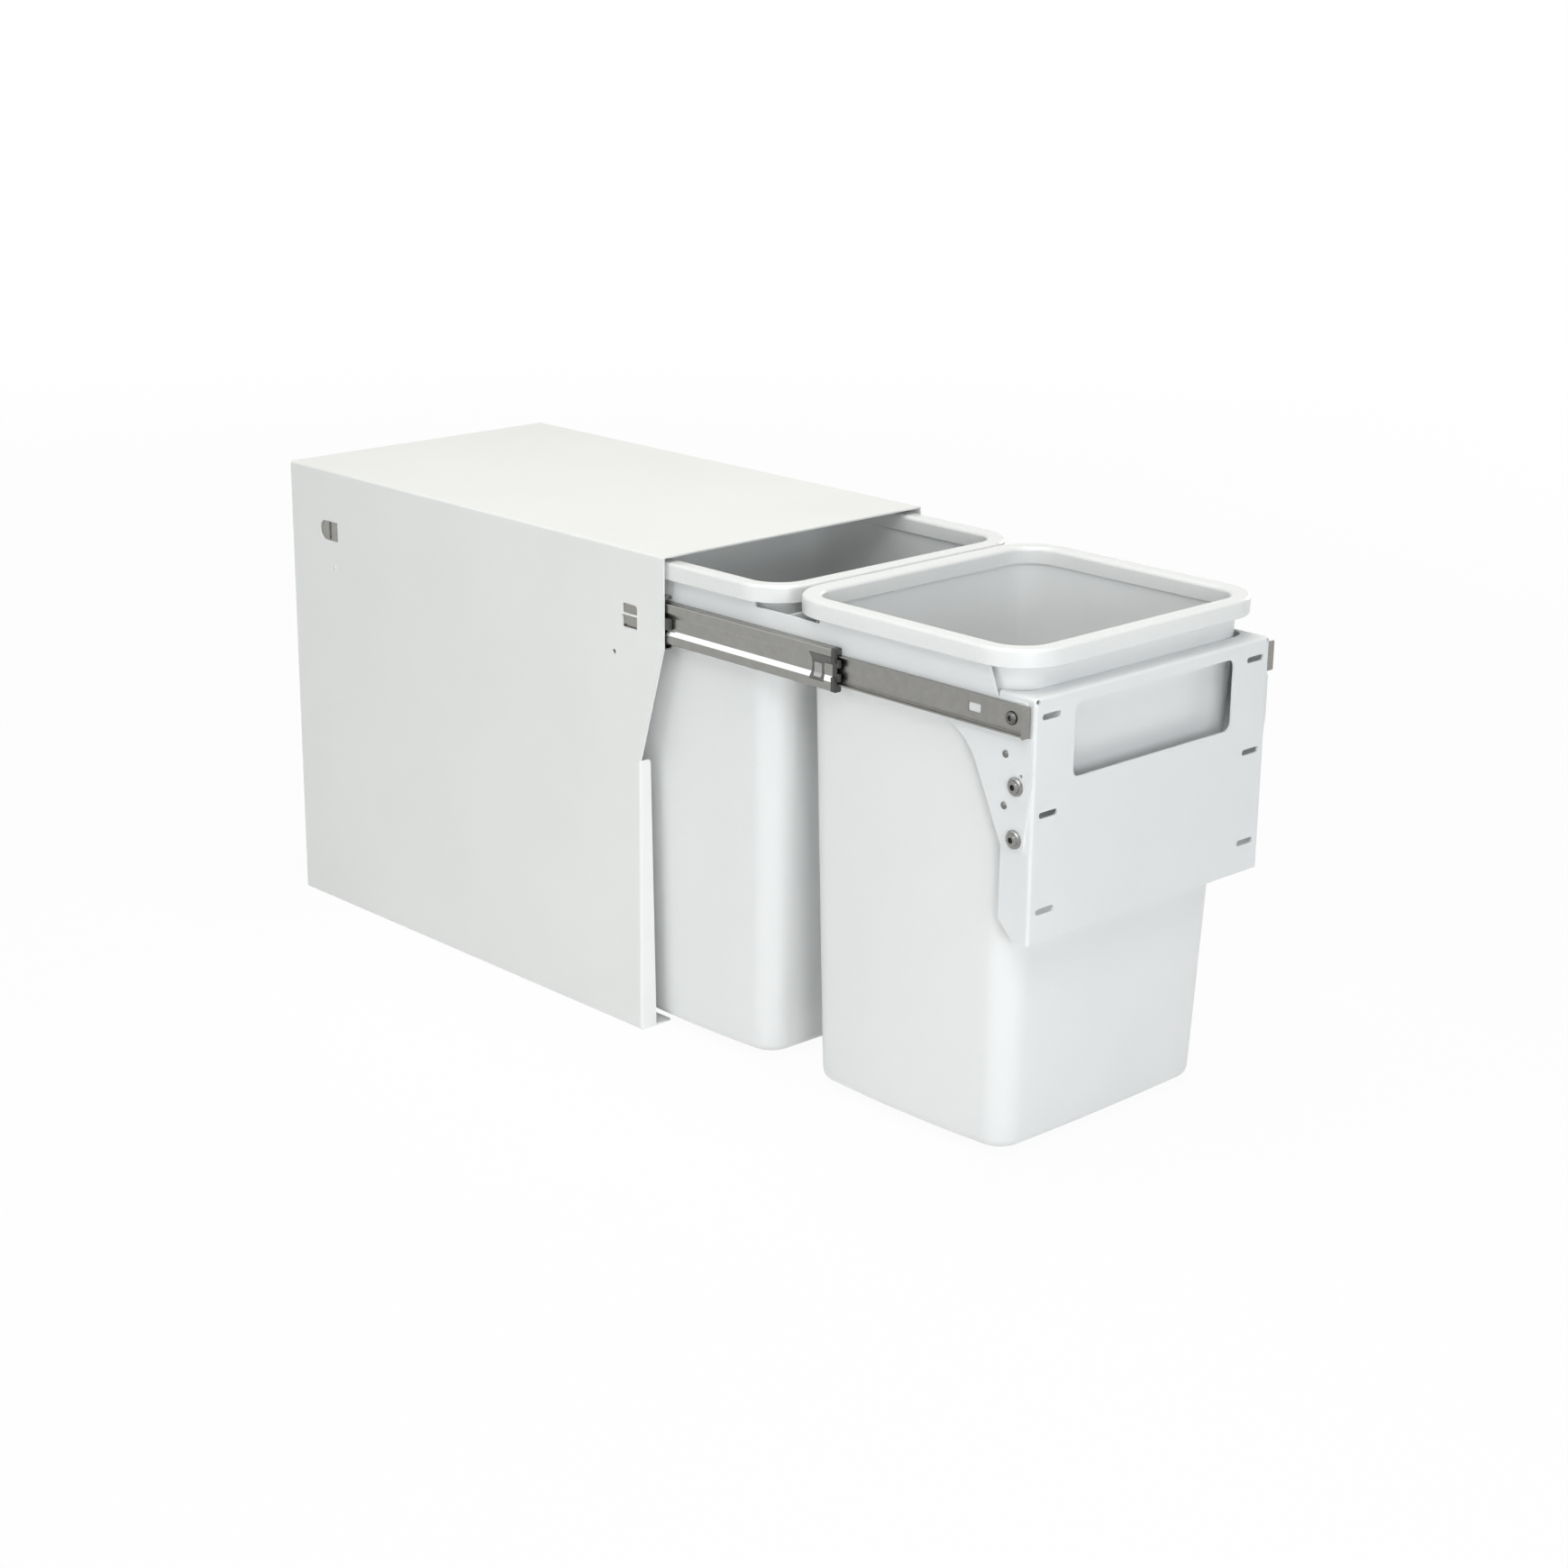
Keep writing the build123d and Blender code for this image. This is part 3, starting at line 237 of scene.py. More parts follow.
def tint(tree, shader, value, dark, light):
    """Colour that drifts between two near shades."""
    ramp = tree.nodes.new("ShaderNodeValToRGB")
    for stop, position, shade in zip(ramp.color_ramp.elements, NOISE_MIDDLE, (dark, light)):
        stop.position = position
        stop.color = (*shade, 1.0)
    tree.links.new(value, ramp.inputs["Fac"])
    tree.links.new(ramp.outputs["Color"], shader.inputs["Base Color"])


def roughen(tree, shader, value, smoothest, roughest):
    """Roughness that follows the middle of a noise."""
    rough = remap(tree, value, NOISE_MIDDLE, (smoothest, roughest))
    tree.links.new(rough, shader.inputs["Roughness"])


def relief(tree, shader, *layers):
    """Adds bump layers to a shader, each a height, a strength and a depth in metres."""
    normal = None
    for height, strength, depth in layers:
        bump = tree.nodes.new("ShaderNodeBump")
        bump.inputs["Strength"].default_value = strength
        bump.inputs["Distance"].default_value = depth
        tree.links.new(height, bump.inputs["Height"])
        if normal is not None:
            tree.links.new(normal, bump.inputs["Normal"])
        normal = bump.outputs["Normal"]
    tree.links.new(normal, shader.inputs["Normal"])


def powder_coat(name, dark, light):
    """Satin powder coat: fine orange peel over slightly uneven sheet."""
    material, tree, shader, place = new_finish(name)
    drift = grain(tree, place, EVEN, scale=9.0, detail=2.0)
    peel = grain(tree, place, EVEN, scale=620.0, detail=2.0)
    speck = grain(tree, place, EVEN, scale=2400.0, detail=1.0)
    sheet = grain(tree, place, EVEN, scale=14.0, detail=1.0)
    tint(tree, shader, drift, dark, light)
    roughen(tree, shader, peel, smoothest=0.31, roughest=0.41)
    relief(tree, shader, (sheet, 0.25, 0.0004), (peel, 0.3, 0.00006), (speck, 0.2, 0.00001))
    return material


def moulded_plastic(name, dark, light, rough, gloss_coat=0.0, gloss=0.5):
    """Injection moulded plastic: faint flow marks, fine spark-eroded grain."""
    material, tree, shader, place = new_finish(name)
    flow = grain(tree, place, FLOW_STRETCH, scale=11.0, detail=3.0)
    skin_grain = grain(tree, place, EVEN, scale=1500.0, detail=2.0)
    sink = grain(tree, place, SINK_STRETCH, scale=16.0, detail=1.0)
    tint(tree, shader, flow, dark, light)
    roughen(tree, shader, skin_grain, smoothest=rough - 0.05, roughest=rough + 0.06)
    shader.inputs["Specular IOR Level"].default_value = gloss
    shader.inputs["Coat Weight"].default_value = gloss_coat
    shader.inputs["Coat Roughness"].default_value = COAT_ROUGHNESS
    relief(tree, shader, (sink, 0.2, 0.0003), (skin_grain, 0.18, 0.00002))
    return material


def rolled_steel(name, dark, light, rough):
    """Zinc plated strip: rolling lines along the rails, and faint spangle."""
    material, tree, shader, place = new_finish(name)
    lines = grain(tree, place, ROLLING_STRETCH, scale=9.0, detail=4.0, roughness=0.65)
    spangle = grain(tree, place, EVEN, scale=140.0, detail=2.0)
    tint(tree, shader, spangle, dark, light)
    roughen(tree, shader, lines, smoothest=rough - 0.07, roughest=rough + 0.1)
    shader.inputs["Metallic"].default_value = 1.0
    relief(tree, shader, (lines, 0.1, 0.00002), (spangle, 0.04, 0.00001))
    return material


def turned_steel(name, dark, light, rough):
    """Small turned or ground steel parts."""
    material, tree, shader, place = new_finish(name)
    cloud = grain(tree, place, EVEN, scale=320.0, detail=3.0)
    fine = grain(tree, place, EVEN, scale=2600.0, detail=2.0)
    tint(tree, shader, cloud, dark, light)
    roughen(tree, shader, fine, smoothest=rough - 0.04, roughest=rough + 0.07)
    shader.inputs["Metallic"].default_value = 1.0
    relief(tree, shader, (fine, 0.15, 0.00001))
    return material


# each finish: its name, its dark and its light shade, and for plastic and steel its roughness
casing_coat = powder_coat("casing_powder_coat", (0.856, 0.868, 0.857), (0.880, 0.892, 0.881))
carrier_coat = powder_coat("carrier_powder_coat", (0.800, 0.820, 0.828), (0.828, 0.846, 0.852))
bucket_plastic = moulded_plastic(
    "bucket_plastic", (0.840, 0.854, 0.858), (0.866, 0.878, 0.880), 0.34,
    gloss_coat=BUCKET_GLOSS_COAT, gloss=BUCKET_GLOSS,
)
ring_plastic = moulded_plastic(
    "liner_ring_plastic", (0.800, 0.812, 0.812), (0.824, 0.835, 0.832), 0.30,
    gloss_coat=BUCKET_GLOSS_COAT, gloss=BUCKET_GLOSS,
)
dark_plastic = moulded_plastic(
    "buffer_plastic", (0.045, 0.045, 0.044), (0.062, 0.062, 0.060), 0.42
)
clip_plastic = moulded_plastic("clip_plastic", (0.10, 0.10, 0.098), (0.13, 0.13, 0.126), 0.42)
slide_steel = rolled_steel("slide_strip", (0.300, 0.297, 0.280), (0.325, 0.322, 0.304), 0.27)
inner_rail_steel = rolled_steel(
    "inner_rail_strip", (0.278, 0.275, 0.260), (0.308, 0.304, 0.288), 0.30
)
# painted highlight: light steel that stands in for the light on the rails' lower slopes
painted_highlight_steel = rolled_steel("painted_highlight_strip", (0.74, 0.745, 0.74), (0.79, 0.795, 0.79), 0.20)
retainer_steel = rolled_steel("retainer_strip", (0.33, 0.33, 0.32), (0.39, 0.39, 0.38), 0.36)
screw_steel = turned_steel("screw_zinc", (0.25, 0.25, 0.24), (0.31, 0.31, 0.30), 0.20)
# painted shade: darker steel for the faces inside the screws' sockets
socket_shade_steel = turned_steel("socket_painted_shade_zinc", (0.12, 0.12, 0.118), (0.16, 0.16, 0.157), 0.35)
dark_screw_steel = turned_steel(
    "dark_screw_zinc", (0.14, 0.14, 0.138), (0.18, 0.18, 0.176), 0.30
)
rivet_steel = turned_steel("rivet_zinc", (0.34, 0.34, 0.33), (0.40, 0.40, 0.39), 0.30)
pin_steel = turned_steel("pin_zinc", (0.17, 0.17, 0.165), (0.23, 0.23, 0.225), 0.26)
ball_steel = turned_steel("ball_bearing_steel", (0.60, 0.60, 0.60), (0.66, 0.66, 0.66), 0.12)

FINISH_OF_NODE = {
    "casing": casing_coat,
    "door_plate": carrier_coat,
    "rear_plate": carrier_coat,
    "centre_bar": carrier_coat,
    "side_plate": carrier_coat,
    "front_bucket": bucket_plastic,
    "rear_bucket": bucket_plastic,
    "front_liner_ring": ring_plastic,
    "rear_liner_ring": ring_plastic,
    "outer_rail": slide_steel,
    "intermediate_rail": slide_steel,
    "inner_rail": inner_rail_steel,
    "outer_rail_stop": dark_plastic,
    "intermediate_rail_cap": dark_plastic,
    "intermediate_rail_clip": clip_plastic,
    "intermediate_rail_catch": rivet_steel,
    "outer_ball_retainer": retainer_steel,
    "inner_ball_retainer": retainer_steel,
    "outer_balls": ball_steel,
    "inner_balls": ball_steel,
    "adjusting_screws": screw_steel,
    "clinch_nuts": rivet_steel,
    "locating_pins": pin_steel,
    "rail_screw": dark_screw_steel,
    "rail_rivets": rivet_steel,
    "rear_plate_rivets": rivet_steel,
}


def without_side(node_name):
    """Node name without its side."""
    for side_name, _ in SIDES:
        node_name = node_name.removesuffix(f"_{side_name}")
    return node_name


def paint_slope_highlights(node, least_up, most_up):
    """Gives the slopes below a rail's middle, which face outwards, a painted highlight: a lighter
    steel in place of the light they catch.
    """
    node.data.materials.append(painted_highlight_steel)
    for polygon in node.data.polygons:
        normal = polygon.normal
        outward = math.copysign(normal.x, normal.x * polygon.center.x)
        below = polygon.center.z < SLIDE_HEIGHT * MM
        if below and outward > HIGHLIGHT_LEAST_OUTWARD and least_up < normal.z < most_up:
            polygon.material_index = 1


for node_name, node in nodes.items():
    node.data.materials.clear()
    node.data.materials.append(FINISH_OF_NODE[without_side(node_name)])
# painted highlights on the lower slopes of the intermediate and inner rails
for side_name, _ in SIDES:
    paint_slope_highlights(nodes[f"intermediate_rail_{side_name}"], *MID_RAIL_HIGHLIGHT_NORMALS)
    paint_slope_highlights(nodes[f"inner_rail_{side_name}"], *INNER_RAIL_HIGHLIGHT_NORMALS)


# ---------------------------------------------------------------- mesh helpers
def place_mesh(name, mesh, finish, body, replaced, smooth_angle=SMOOTH_ANGLE):
    """Puts a mesh in the scene, on its body, in the place of its CAD node."""
    for polygon in mesh.polygons:
        polygon.use_smooth = True
    mesh.set_sharp_from_angle(angle=math.radians(smooth_angle))
    mesh.materials.clear()
    mesh.materials.append(finish)
    piece = bpy.data.objects.new(name, mesh)
    bpy.context.scene.collection.objects.link(piece)
    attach(piece, body)
    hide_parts(replaced)
    return piece


def quarter_turn(steps):
    """Angles from 0 to 90 degrees in even steps."""
    return [math.radians(90.0 * step / steps) for step in range(steps + 1)]


def rounded_loop(
    width, length, corner, middle, height, bow=(0.0, 0.0), corner_steps=12, side_steps=8
):
    """Points round a rounded rectangle, in metres, seen from above and anticlockwise.

    The bow is how far the sides and the ends bulge in their middle.
    """
    half_width = width / 2 - corner
    half_length = length / 2 - corner
    centres = (
        (half_width, half_length, 0),
        (-half_width, half_length, 90),
        (-half_width, -half_length, 180),
        (half_width, -half_length, 270),
    )
    points = []
    for index, (x, y, start) in enumerate(centres):
        for step in range(corner_steps + 1):
            angle = math.radians(start + 90.0 * step / corner_steps)
            points.append((x + corner * math.cos(angle), y + corner * math.sin(angle)))
        next_x, next_y, next_start = centres[(index + 1) % 4]
        angle = math.radians(next_start)
        end = (next_x + corner * math.cos(angle), next_y + corner * math.sin(angle))
        first = points[-1]
        for step in range(1, side_steps):
            part = step / side_steps
            points.append(
                (first[0] + (end[0] - first[0]) * part, first[1] + (end[1] - first[1]) * part)
            )
    bulged = []
    for x, y in points:
        outward = bow[0] * (1 - (2 * y / length) ** 2)
        endward = bow[1] * (1 - (2 * x / width) ** 2)
        bulged.append((x + math.copysign(outward, x), y + math.copysign(endward, y) + middle))
    return [Vector((x * MM, y * MM, height * MM)) for x, y in bulged]


def join(builder, lower, upper):
    """Joins two rows of vertices by a band of faces."""
    count = len(lower)
    for index in range(count):
        following = (index + 1) % count
        builder.faces.new((lower[index], lower[following], upper[following], upper[index]))


def skin(builder, loops, closed=False, cap_start=False, cap_end=False):
    """Joins rows of points into a surface."""
    rows = [[builder.verts.new(point) for point in loop] for loop in loops]
    for lower, upper in zip(rows, rows[1:]):
        join(builder, lower, upper)
    if closed:
        join(builder, rows[-1], rows[0])
    if cap_start:
        builder.faces.new(list(reversed(rows[0])))
    if cap_end:
        builder.faces.new(rows[-1])
    return rows


# ---------------------------------------------------------------- buckets and liner rings
def body_loop(middle, height, inset, at_height=None):
    """One row of a bucket's wall, set in from the outside by the inset."""
    share = (height - BUCKET_FLOOR) / (BUCKET_TOP - BUCKET_FLOOR)
    width, length, corner, side_bow, end_bow = (
        at_floor + growth * share
        for at_floor, growth in (
            BUCKET_WIDTH, BUCKET_LENGTH, BUCKET_CORNER, BUCKET_SIDE_BOW, BUCKET_END_BOW
        )
    )
    return rounded_loop(
        width - 2 * inset,
        length - 2 * inset,
        max(corner - inset, LEAST_CORNER),
        middle + BUCKET_SET_BACK * (1 - share),
        height if at_height is None else at_height,
        (side_bow, end_bow),
    )


def lip_loop(middle, height, inset):
    """One row of the bucket's lip."""
    setback = LIP_SETBACK + inset
    return rounded_loop(
        RING_WIDTH - 2 * setback, RING_LENGTH - 2 * setback, RING_CORNER - setback, middle, height
    )


def make_moulding(name, loops, finish, slot, replaced, **ends):
    """Makes a moulded piece of the carrier from rows of points."""
    builder = bmesh.new()
    skin(builder, loops, **ends)
    bmesh.ops.remove_doubles(builder, verts=builder.verts, dist=MERGE_DISTANCE)
    bmesh.ops.recalc_face_normals(builder, faces=builder.faces)
    mesh = bpy.data.meshes.new(name)
    builder.to_mesh(mesh)
    builder.free()
    place_mesh(name, mesh, finish, "carrier", replaced)


def make_bucket(place_name, middle):
    """Bucket with a foot rim, a rounded bottom, bowed walls and a lip with a skirt."""
    loops = []
    for inset, lift in FOOT_PANEL:
        loops.append(body_loop(middle, BUCKET_FLOOR, inset, BUCKET_FLOOR + lift))
    for angle in quarter_turn(BUCKET_OUTER_STEPS):
        rise = BUCKET_ROUND * (1 - math.cos(angle))
        inset = BUCKET_ROUND * (1 - math.sin(angle))
        loops.append(body_loop(middle, BUCKET_FLOOR + rise, inset))
    for height in WALL_HEIGHTS:
        loops.append(body_loop(middle, height, 0.0))
    # small radius under the lip, then the lip and its skirt
    for height, inset in LIP_FILLET:
        loops.append(body_loop(middle, height, inset))
    for height, inset in (
        (LIP_SEAT, BUCKET_WALL),
        (LIP_SKIRT_END, BUCKET_WALL),
        (LIP_SKIRT_END, 0.0),
        (BUCKET_TOP - LIP_EDGE, 0.0),
        (BUCKET_TOP, LIP_EDGE),
    ):
        loops.append(lip_loop(middle, height, inset))
    # over the edge and down the inside
    loops.append(body_loop(middle, BUCKET_TOP, BUCKET_WALL - LIP_EDGE))
    loops.append(body_loop(middle, BUCKET_TOP - LIP_EDGE, BUCKET_WALL))
    for height in reversed(WALL_HEIGHTS):
        loops.append(body_loop(middle, height, BUCKET_WALL))
    inner_round = BUCKET_ROUND - BUCKET_WALL
    for angle in reversed(quarter_turn(BUCKET_INNER_STEPS)):
        rise = BUCKET_WALL + inner_round * (1 - math.cos(angle))
        inset = BUCKET_WALL + inner_round * (1 - math.sin(angle))
        loops.append(body_loop(middle, BUCKET_FLOOR + rise, inset))
    for inset, lift in FLOOR_PANEL:
        at_height = BUCKET_FLOOR + BUCKET_WALL + FLOOR_RISE + lift
        loops.append(body_loop(middle, BUCKET_FLOOR, BUCKET_WALL + inset, at_height))
    make_moulding(
        f"{place_name}_bucket_shell", loops, bucket_plastic, "white_plastic",
        f"{place_name}_bucket", cap_start=True, cap_end=True,
    )


def band_round(edge, inward, radius, angles):
    """Rounded upper edge of the liner ring's band, as (inset, height)."""
    points = []
    for angle in angles:
        inset = edge + inward * radius * (1 - math.cos(angle))
        points.append((inset, RING_TOP - radius + radius * math.sin(angle)))
    return points


def make_ring(place_name, middle):
    """Liner ring: a channel over the bucket's lip, with rounded edges."""
    across, up = RING_LOW_BEVEL
    channel = RING_BAND - RING_SKIRT
    profile = [
        (RING_LOW_EDGE, RING_LOW),
        (0.0, RING_LOW + RING_LOW_EDGE),
        *band_round(0.0, 1, RING_OUTER_ROUND, quarter_turn(RING_OUTER_STEPS)),
        *band_round(RING_BAND, -1, RING_INNER_ROUND, reversed(quarter_turn(RING_INNER_STEPS))),
        (RING_BAND, RING_LOW + RING_LOW_EDGE),
        (RING_BAND - RING_LOW_EDGE, RING_LOW),
        (channel + across, RING_LOW),
        (channel, RING_LOW + up),
        (channel, BUCKET_TOP - RING_CHANNEL_EDGE),
        (channel - RING_CHANNEL_EDGE, BUCKET_TOP),
        (RING_SKIRT + RING_CHANNEL_EDGE, BUCKET_TOP),
        (RING_SKIRT, BUCKET_TOP - RING_CHANNEL_EDGE),
        (RING_SKIRT, RING_LOW + up),
        (RING_SKIRT - across, RING_LOW),
    ]
    loops = [
        rounded_loop(
            RING_WIDTH - 2 * inset, RING_LENGTH - 2 * inset, RING_CORNER - inset, middle, height,
            corner_steps=RING_CORNER_STEPS,
        )
        for inset, height in profile
    ]
    make_moulding(
        f"{place_name}_liner_ring_moulding", loops, ring_plastic, "ring_plastic",
        f"{place_name}_liner_ring", closed=True,
    )


for place_name, middle in (("front", RING_MIDDLE), ("rear", RING_MIDDLE + BUCKET_PITCH)):
    make_bucket(place_name, middle)
    make_ring(place_name, middle)


# ---------------------------------------------------------------- repeated small parts
ROW_INPUTS = {
    "First place": "NodeSocketVector",
    "Step": "NodeSocketVector",
    "Count": "NodeSocketInt",
    "Row step": "NodeSocketVector",
    "Rows": "NodeSocketInt",
    "Finish": "NodeSocketMaterial",
}


def repeat_tree():
    """Geometry nodes that set copies of one part in rows, and their inputs' identifiers."""
    tree = bpy.data.node_groups.new("rows_of_one_part", "GeometryNodeTree")
    face = tree.interface
    face.new_socket("Geometry", in_out="INPUT", socket_type="NodeSocketGeometry")
    identifiers = {
        name: face.new_socket(name, in_out="INPUT", socket_type=kind).identifier
        for name, kind in ROW_INPUTS.items()
    }
    face.new_socket("Geometry", in_out="OUTPUT", socket_type="NodeSocketGeometry")
    entry = tree.nodes.new("NodeGroupInput")
    leave = tree.nodes.new("NodeGroupOutput")
    row = tree.nodes.new("GeometryNodeMeshLine")
    row_ends = tree.nodes.new("GeometryNodeMeshLine")
    parts = tree.nodes.new("GeometryNodeInstanceOnPoints")
    part_rows = tree.nodes.new("GeometryNodeInstanceOnPoints")
    realize = tree.nodes.new("GeometryNodeRealizeInstances")
    paint = tree.nodes.new("GeometryNodeSetMaterial")
    link = tree.links.new
    link(entry.outputs["Count"], row.inputs["Count"])
    link(entry.outputs["First place"], row.inputs["Start Location"])
    link(entry.outputs["Step"], row.inputs["Offset"])
    link(entry.outputs["Rows"], row_ends.inputs["Count"])
    link(entry.outputs["Row step"], row_ends.inputs["Offset"])
    link(row.outputs["Mesh"], parts.inputs["Points"])
    link(entry.outputs["Geometry"], parts.inputs["Instance"])
    link(row_ends.outputs["Mesh"], part_rows.inputs["Points"])
    link(parts.outputs["Instances"], part_rows.inputs["Instance"])
    link(part_rows.outputs["Instances"], realize.inputs["Geometry"])
    link(realize.outputs["Geometry"], paint.inputs["Geometry"])
    link(entry.outputs["Finish"], paint.inputs["Material"])
    link(paint.outputs["Geometry"], leave.inputs["Geometry"])
    return tree, identifiers


ROWS_TREE, ROWS_IDENTIFIERS = repeat_tree()


def in_metres(place):
    """A place or step in metres, from millimetres."""
    return [value * MM for value in place]


def in_rows(
    name, builder, finish, body, replaced, first, step, count,
    row_step=(0, 0, 0), rows=1, smooth_angle=SMOOTH_ANGLE,
):
    """Repeats one small part in rows and makes the result a plain mesh."""
    bmesh.ops.recalc_face_normals(builder, faces=builder.faces)
    single = bpy.data.meshes.new(f"{name}_single")
    builder.to_mesh(single)
    builder.free()
    holder = bpy.data.objects.new(f"{name}_rows", single)
    bpy.context.scene.collection.objects.link(holder)
    modifier = holder.modifiers.new("rows", "NODES")
    modifier.node_group = ROWS_TREE
    values = {
        "First place": in_metres(first),
        "Step": in_metres(step),
        "Count": count,
        "Row step": in_metres(row_step),
        "Rows": rows,
        "Finish": finish,
    }
    for input_name, value in values.items():
        modifier[ROWS_IDENTIFIERS[input_name]] = value
    depsgraph = bpy.context.evaluated_depsgraph_get()
    mesh = bpy.data.meshes.new_from_object(holder.evaluated_get(depsgraph))
    holder.modifiers.clear()
    bpy.data.objects.remove(holder)
    bpy.data.meshes.remove(single)
    mesh.name = name
    return place_mesh(name, mesh, finish, body, replaced, smooth_angle)


def points_about_x(side, along, radii):
    """Points round the X axis, in metres, each at its own radius."""
    points = []
    for index, radius in enumerate(radii):
        angle = 2 * math.pi * index / len(radii)
        point = Vector((side * along, radius * math.cos(angle), radius * math.sin(angle)))
        points.append(point * MM)
    return points


def turned_part(profile, side, segments, waves):
    """Turned shape about X, open at its face. A flange may have waves round its edge."""
    least_radius, wave_depth = waves or (math.inf, 0.0)
    loops = []
    for along, radius in profile:
        low = radius - wave_depth if radius >= least_radius else radius
        radii = [low if index % 2 else radius for index in range(segments)]
        loops.append(points_about_x(side, along, radii))
    builder = bmesh.new()
    return builder, skin(builder, loops, cap_start=True)


def sink_socket(builder, face_row, side, face_along, socket_radius, depth):
    """Sinks a socket with flats into a screw's face."""
    segments = len(face_row)
    sector = math.pi / SOCKET_FLATS
    flats = []
    for index in range(segments):
        angle = 2 * math.pi * index / segments
        local = (angle % (2 * sector)) - sector
        flats.append(socket_radius * math.cos(sector) / math.cos(local))
    bevel_depth, rim_share = SOCKET_BEVEL
    rows = [face_row]
    for drop, share in ((0.0, rim_share), (bevel_depth, 1.0), (depth, 1.0)):
        points = points_about_x(side, face_along - drop, [flat * share for flat in flats])
        rows.append([builder.verts.new(point) for point in points])
    for lower, upper in zip(rows, rows[1:]):
        join(builder, lower, upper)
    builder.faces.new(rows[-1])


def paint_socket_shade(piece, along, heights, reach):
    """Gives the faces within a screw's socket a darker steel, as painted shade in the recess."""
    piece.data.materials.append(socket_shade_steel)
    for polygon in piece.data.polygons:
        x, y, z = (value / MM for value in polygon.center)
        for height in heights:
            away = math.hypot(y - along, z - height)
            if away < reach and abs(x) > SIDE_OUTER + SOCKET_OUTSIDE:
                polygon.material_index = 1


def domed(shank, reach):
    """Profile of a pin or rivet: its shank, then a low dome up to a small flat."""
    dome = []
    for step in range(DOME_STEPS + 1):
        angle = math.radians(DOME_SWEEP * step / DOME_STEPS)
        dome.append((DOME_START + DOME_HEIGHT * math.sin(angle), reach * math.cos(angle)))
    return shank + dome


def make_fasteners(
    name, side_name, side, replaced, finish, profile, place, step=(0, 0, 0), count=1,
    segments=PIN_SEGMENTS, waves=None, socket=None,
):
    """One or more equal screws, pins or rivets on one side of the carrier."""
    outward, along, height = place
    builder, rows = turned_part(profile, side, segments, waves)
    if socket:
        face_along = profile[-1][0]
        sink_socket(builder, rows[-1], side, face_along, *socket)
    else:
        builder.faces.new(rows[-1])
    piece = in_rows(
        f"{name}_{side_name}", builder, finish, "carrier",
        f"{replaced}_{side_name}", (side * outward, along, height), step, count,
    )
    if socket:
        # painted shade in each socket
        heights = [height + step[2] * index for index in range(count)]
        paint_socket_shade(piece, along, heights, reach=socket[0])


for side_name, side in SIDES:
    make_fasteners(
        "flange_screws", side_name, side, "adjusting_screws", screw_steel, FLANGE_SCREW,
        FLANGE_SCREW_AT, FLANGE_SCREW_STEP, 2,
        segments=SCREW_SEGMENTS, waves=FLANGE_WAVES, socket=FLANGE_SOCKET,
    )
    make_fasteners(
        "side_plate_pins", side_name, side, "locating_pins", pin_steel,
        domed(PIN_SHANK, PIN_HEAD), PIN_AT, PIN_STEP, 2,
    )
    make_fasteners(
        "inner_rail_screw", side_name, side, "rail_screw", dark_screw_steel, RAIL_SCREW,
        RAIL_SCREW_AT, segments=SCREW_SEGMENTS, socket=RAIL_SOCKET,
    )
    make_fasteners(
        "inner_rail_rivets", side_name, side, "rail_rivets", rivet_steel,
        domed(RAIL_RIVET_SHANK, RIVET_HEAD), RAIL_RIVET_AT, RAIL_RIVET_STEP, 2,
    )
    make_fasteners(
        "rear_rivets", side_name, side, "rear_plate_rivets", rivet_steel,
        domed(REAR_RIVET_SHANK, RIVET_HEAD), REAR_RIVET_AT, REAR_RIVET_STEP, 2,
    )
    for row_name, body, from_wall, height, retainer_front in BALL_ROWS:
        builder = bmesh.new()
        bmesh.ops.create_uvsphere(
            builder, u_segments=BALL_SEGMENTS, v_segments=BALL_RINGS, radius=BALL_RADIUS * MM
        )
        first = (
            side * (SLIDE_WALL - from_wall), retainer_front + BALL_END_GAP, SLIDE_HEIGHT - height
        )
        in_rows(
            f"{row_name}_ball_rows_{side_name}", builder, ball_steel, body,
            f"{row_name}_balls_{side_name}", first, (0, BALL_PITCH, 0), BALLS_IN_ROW,
            row_step=(0, 0, 2 * height), rows=2, smooth_angle=BALL_SMOOTH_ANGLE,
        )


# ---------------------------------------------------------------- floor, light and camera
def seen_share(tree, level):
    """A level for camera, glossy and transmission rays, and zero for the light on the object.

    The level is a number or an output of another node.
    """
    path = tree.nodes.new("ShaderNodeLightPath")
    total = path.outputs["Is Camera Ray"]
    for kind in ("Is Glossy Ray", "Is Transmission Ray"):
        larger = tree.nodes.new("ShaderNodeMath")
        larger.operation = "MAXIMUM"
        tree.links.new(total, larger.inputs[0])
        tree.links.new(path.outputs[kind], larger.inputs[1])
        total = larger.outputs["Value"]
    share = tree.nodes.new("ShaderNodeMath")
    share.operation = "MULTIPLY"
    if isinstance(level, float):
        share.inputs[1].default_value = level
    else:
        tree.links.new(level, share.inputs[1])
    tree.links.new(total, share.inputs[0])
    return share.outputs["Value"]


def plain_shader(tree, kind, colour, strength=None):
    """A shader of one colour, with a strength where it has one."""
    shader = tree.nodes.new(kind)
    shader.inputs["Color"].default_value = (*colour, 1.0)
    if strength is not None:
        shader.inputs["Strength"].default_value = strength
    return shader.outputs[0]


def blend_by_ray(tree, output_kind, level, lit, seen):
    """One shader for the light on the object, and the other, by the level, for what is seen."""
    output = tree.nodes.new(output_kind)
    blend = tree.nodes.new("ShaderNodeMixShader")
    tree.links.new(seen_share(tree, level), blend.inputs["Fac"])
    tree.links.new(lit, blend.inputs[1])
    tree.links.new(seen, blend.inputs[2])
    tree.links.new(blend.outputs["Shader"], output.inputs["Surface"])


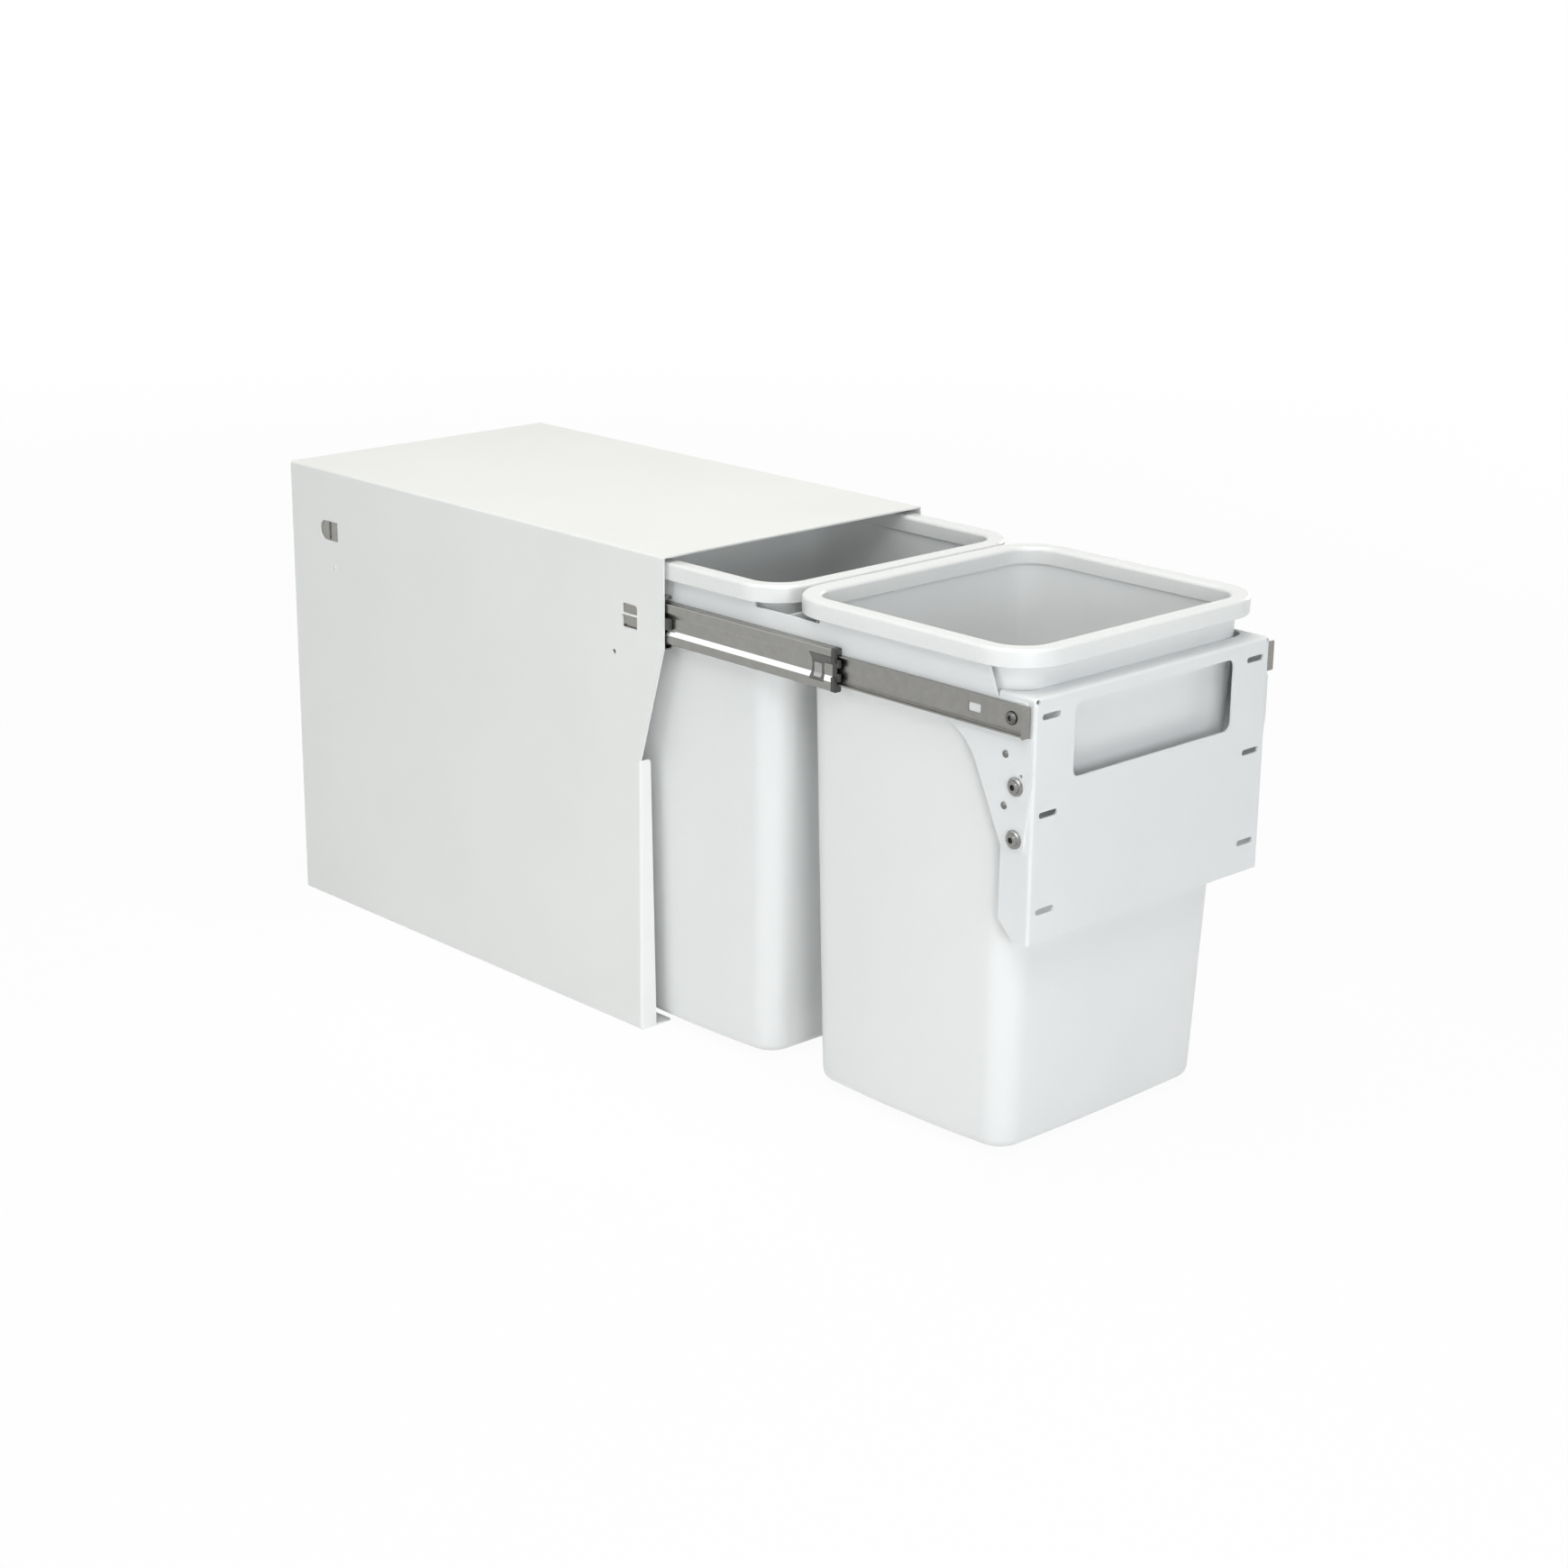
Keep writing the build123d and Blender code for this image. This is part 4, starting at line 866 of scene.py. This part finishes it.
def make_floor():
    """Pale paper that turns plain white away from the object, and keeps its shadow."""
    builder = bmesh.new()
    bmesh.ops.create_grid(builder, x_segments=1, y_segments=1, size=FLOOR_SIZE)
    mesh = bpy.data.meshes.new("floor")
    builder.to_mesh(mesh)
    builder.free()
    floor = bpy.data.objects.new("floor", mesh)
    bpy.context.scene.collection.objects.link(floor)
    floor.location.z = FLOOR_LEVEL
    material = bpy.data.materials.new("floor_paper")
    material.use_nodes = True
    tree = material.node_tree
    tree.nodes.clear()
    place = tree.nodes.new("ShaderNodeTexCoord")
    away = tree.nodes.new("ShaderNodeVectorMath")
    away.operation = "LENGTH"
    tree.links.new(place.outputs["Object"], away.inputs[0])
    blend_by_ray(
        tree, "ShaderNodeOutputMaterial",
        remap(tree, away.outputs["Value"], PAPER_FADE, PAPER_WHITE),
        plain_shader(tree, "ShaderNodeBsdfDiffuse", PAPER),
        plain_shader(tree, "ShaderNodeEmission", WHITE, 1.0),
    )
    mesh.materials.append(material)


def make_world():
    """A little soft light from all round, behind a background that is seen as white."""
    world = bpy.data.worlds.new("studio")
    bpy.context.scene.world = world
    world.use_nodes = True
    tree = world.node_tree
    tree.nodes.clear()
    blend_by_ray(
        tree, "ShaderNodeOutputWorld", 1.0,
        plain_shader(tree, "ShaderNodeBackground", STUDIO_LIGHT, STUDIO_LEVEL),
        plain_shader(tree, "ShaderNodeBackground", WHITE, 1.0),
    )


def soft_box(name, place, target, width, height, power, colour):
    """Rectangular studio lamp that faces a target."""
    lamp = bpy.data.lights.new(name, "AREA")
    lamp.shape = "RECTANGLE"
    lamp.size = width
    lamp.size_y = height
    lamp.energy = power
    lamp.color = colour
    holder = bpy.data.objects.new(name, lamp)
    bpy.context.scene.collection.objects.link(holder)
    holder.location = place
    holder.rotation_mode = "QUATERNION"
    holder.rotation_quaternion = (Vector(target) - Vector(place)).to_track_quat("-Z", "Y")


def make_camera():
    """Camera at the photograph's place, turned slightly about its own axis."""
    azimuth, elevation, roll = (math.radians(value) for value in CAMERA_TURN)
    back = Vector(
        (
            math.sin(azimuth) * math.cos(elevation),
            -math.cos(azimuth) * math.cos(elevation),
            math.sin(elevation),
        )
    )
    right = Vector((0, 0, 1)).cross(back).normalized()
    up = back.cross(right)
    turned_right = math.cos(roll) * right + math.sin(roll) * up
    turned_up = -math.sin(roll) * right + math.cos(roll) * up
    lens = bpy.data.cameras.new("camera")
    lens.sensor_width = SENSOR_WIDTH
    lens.lens = LENS
    lens.clip_start = CLIP_NEAR
    lens.clip_end = CLIP_FAR
    camera = bpy.data.objects.new("camera", lens)
    bpy.context.scene.collection.objects.link(camera)
    turn = Matrix((turned_right, turned_up, back)).transposed().to_4x4()
    camera.matrix_world = Matrix.Translation(CAMERA_PLACE) @ turn
    bpy.context.scene.camera = camera


make_floor()
make_world()
for lamp in LAMPS:
    soft_box(*lamp)
make_camera()
bpy.context.scene.view_settings.view_transform = "Standard"
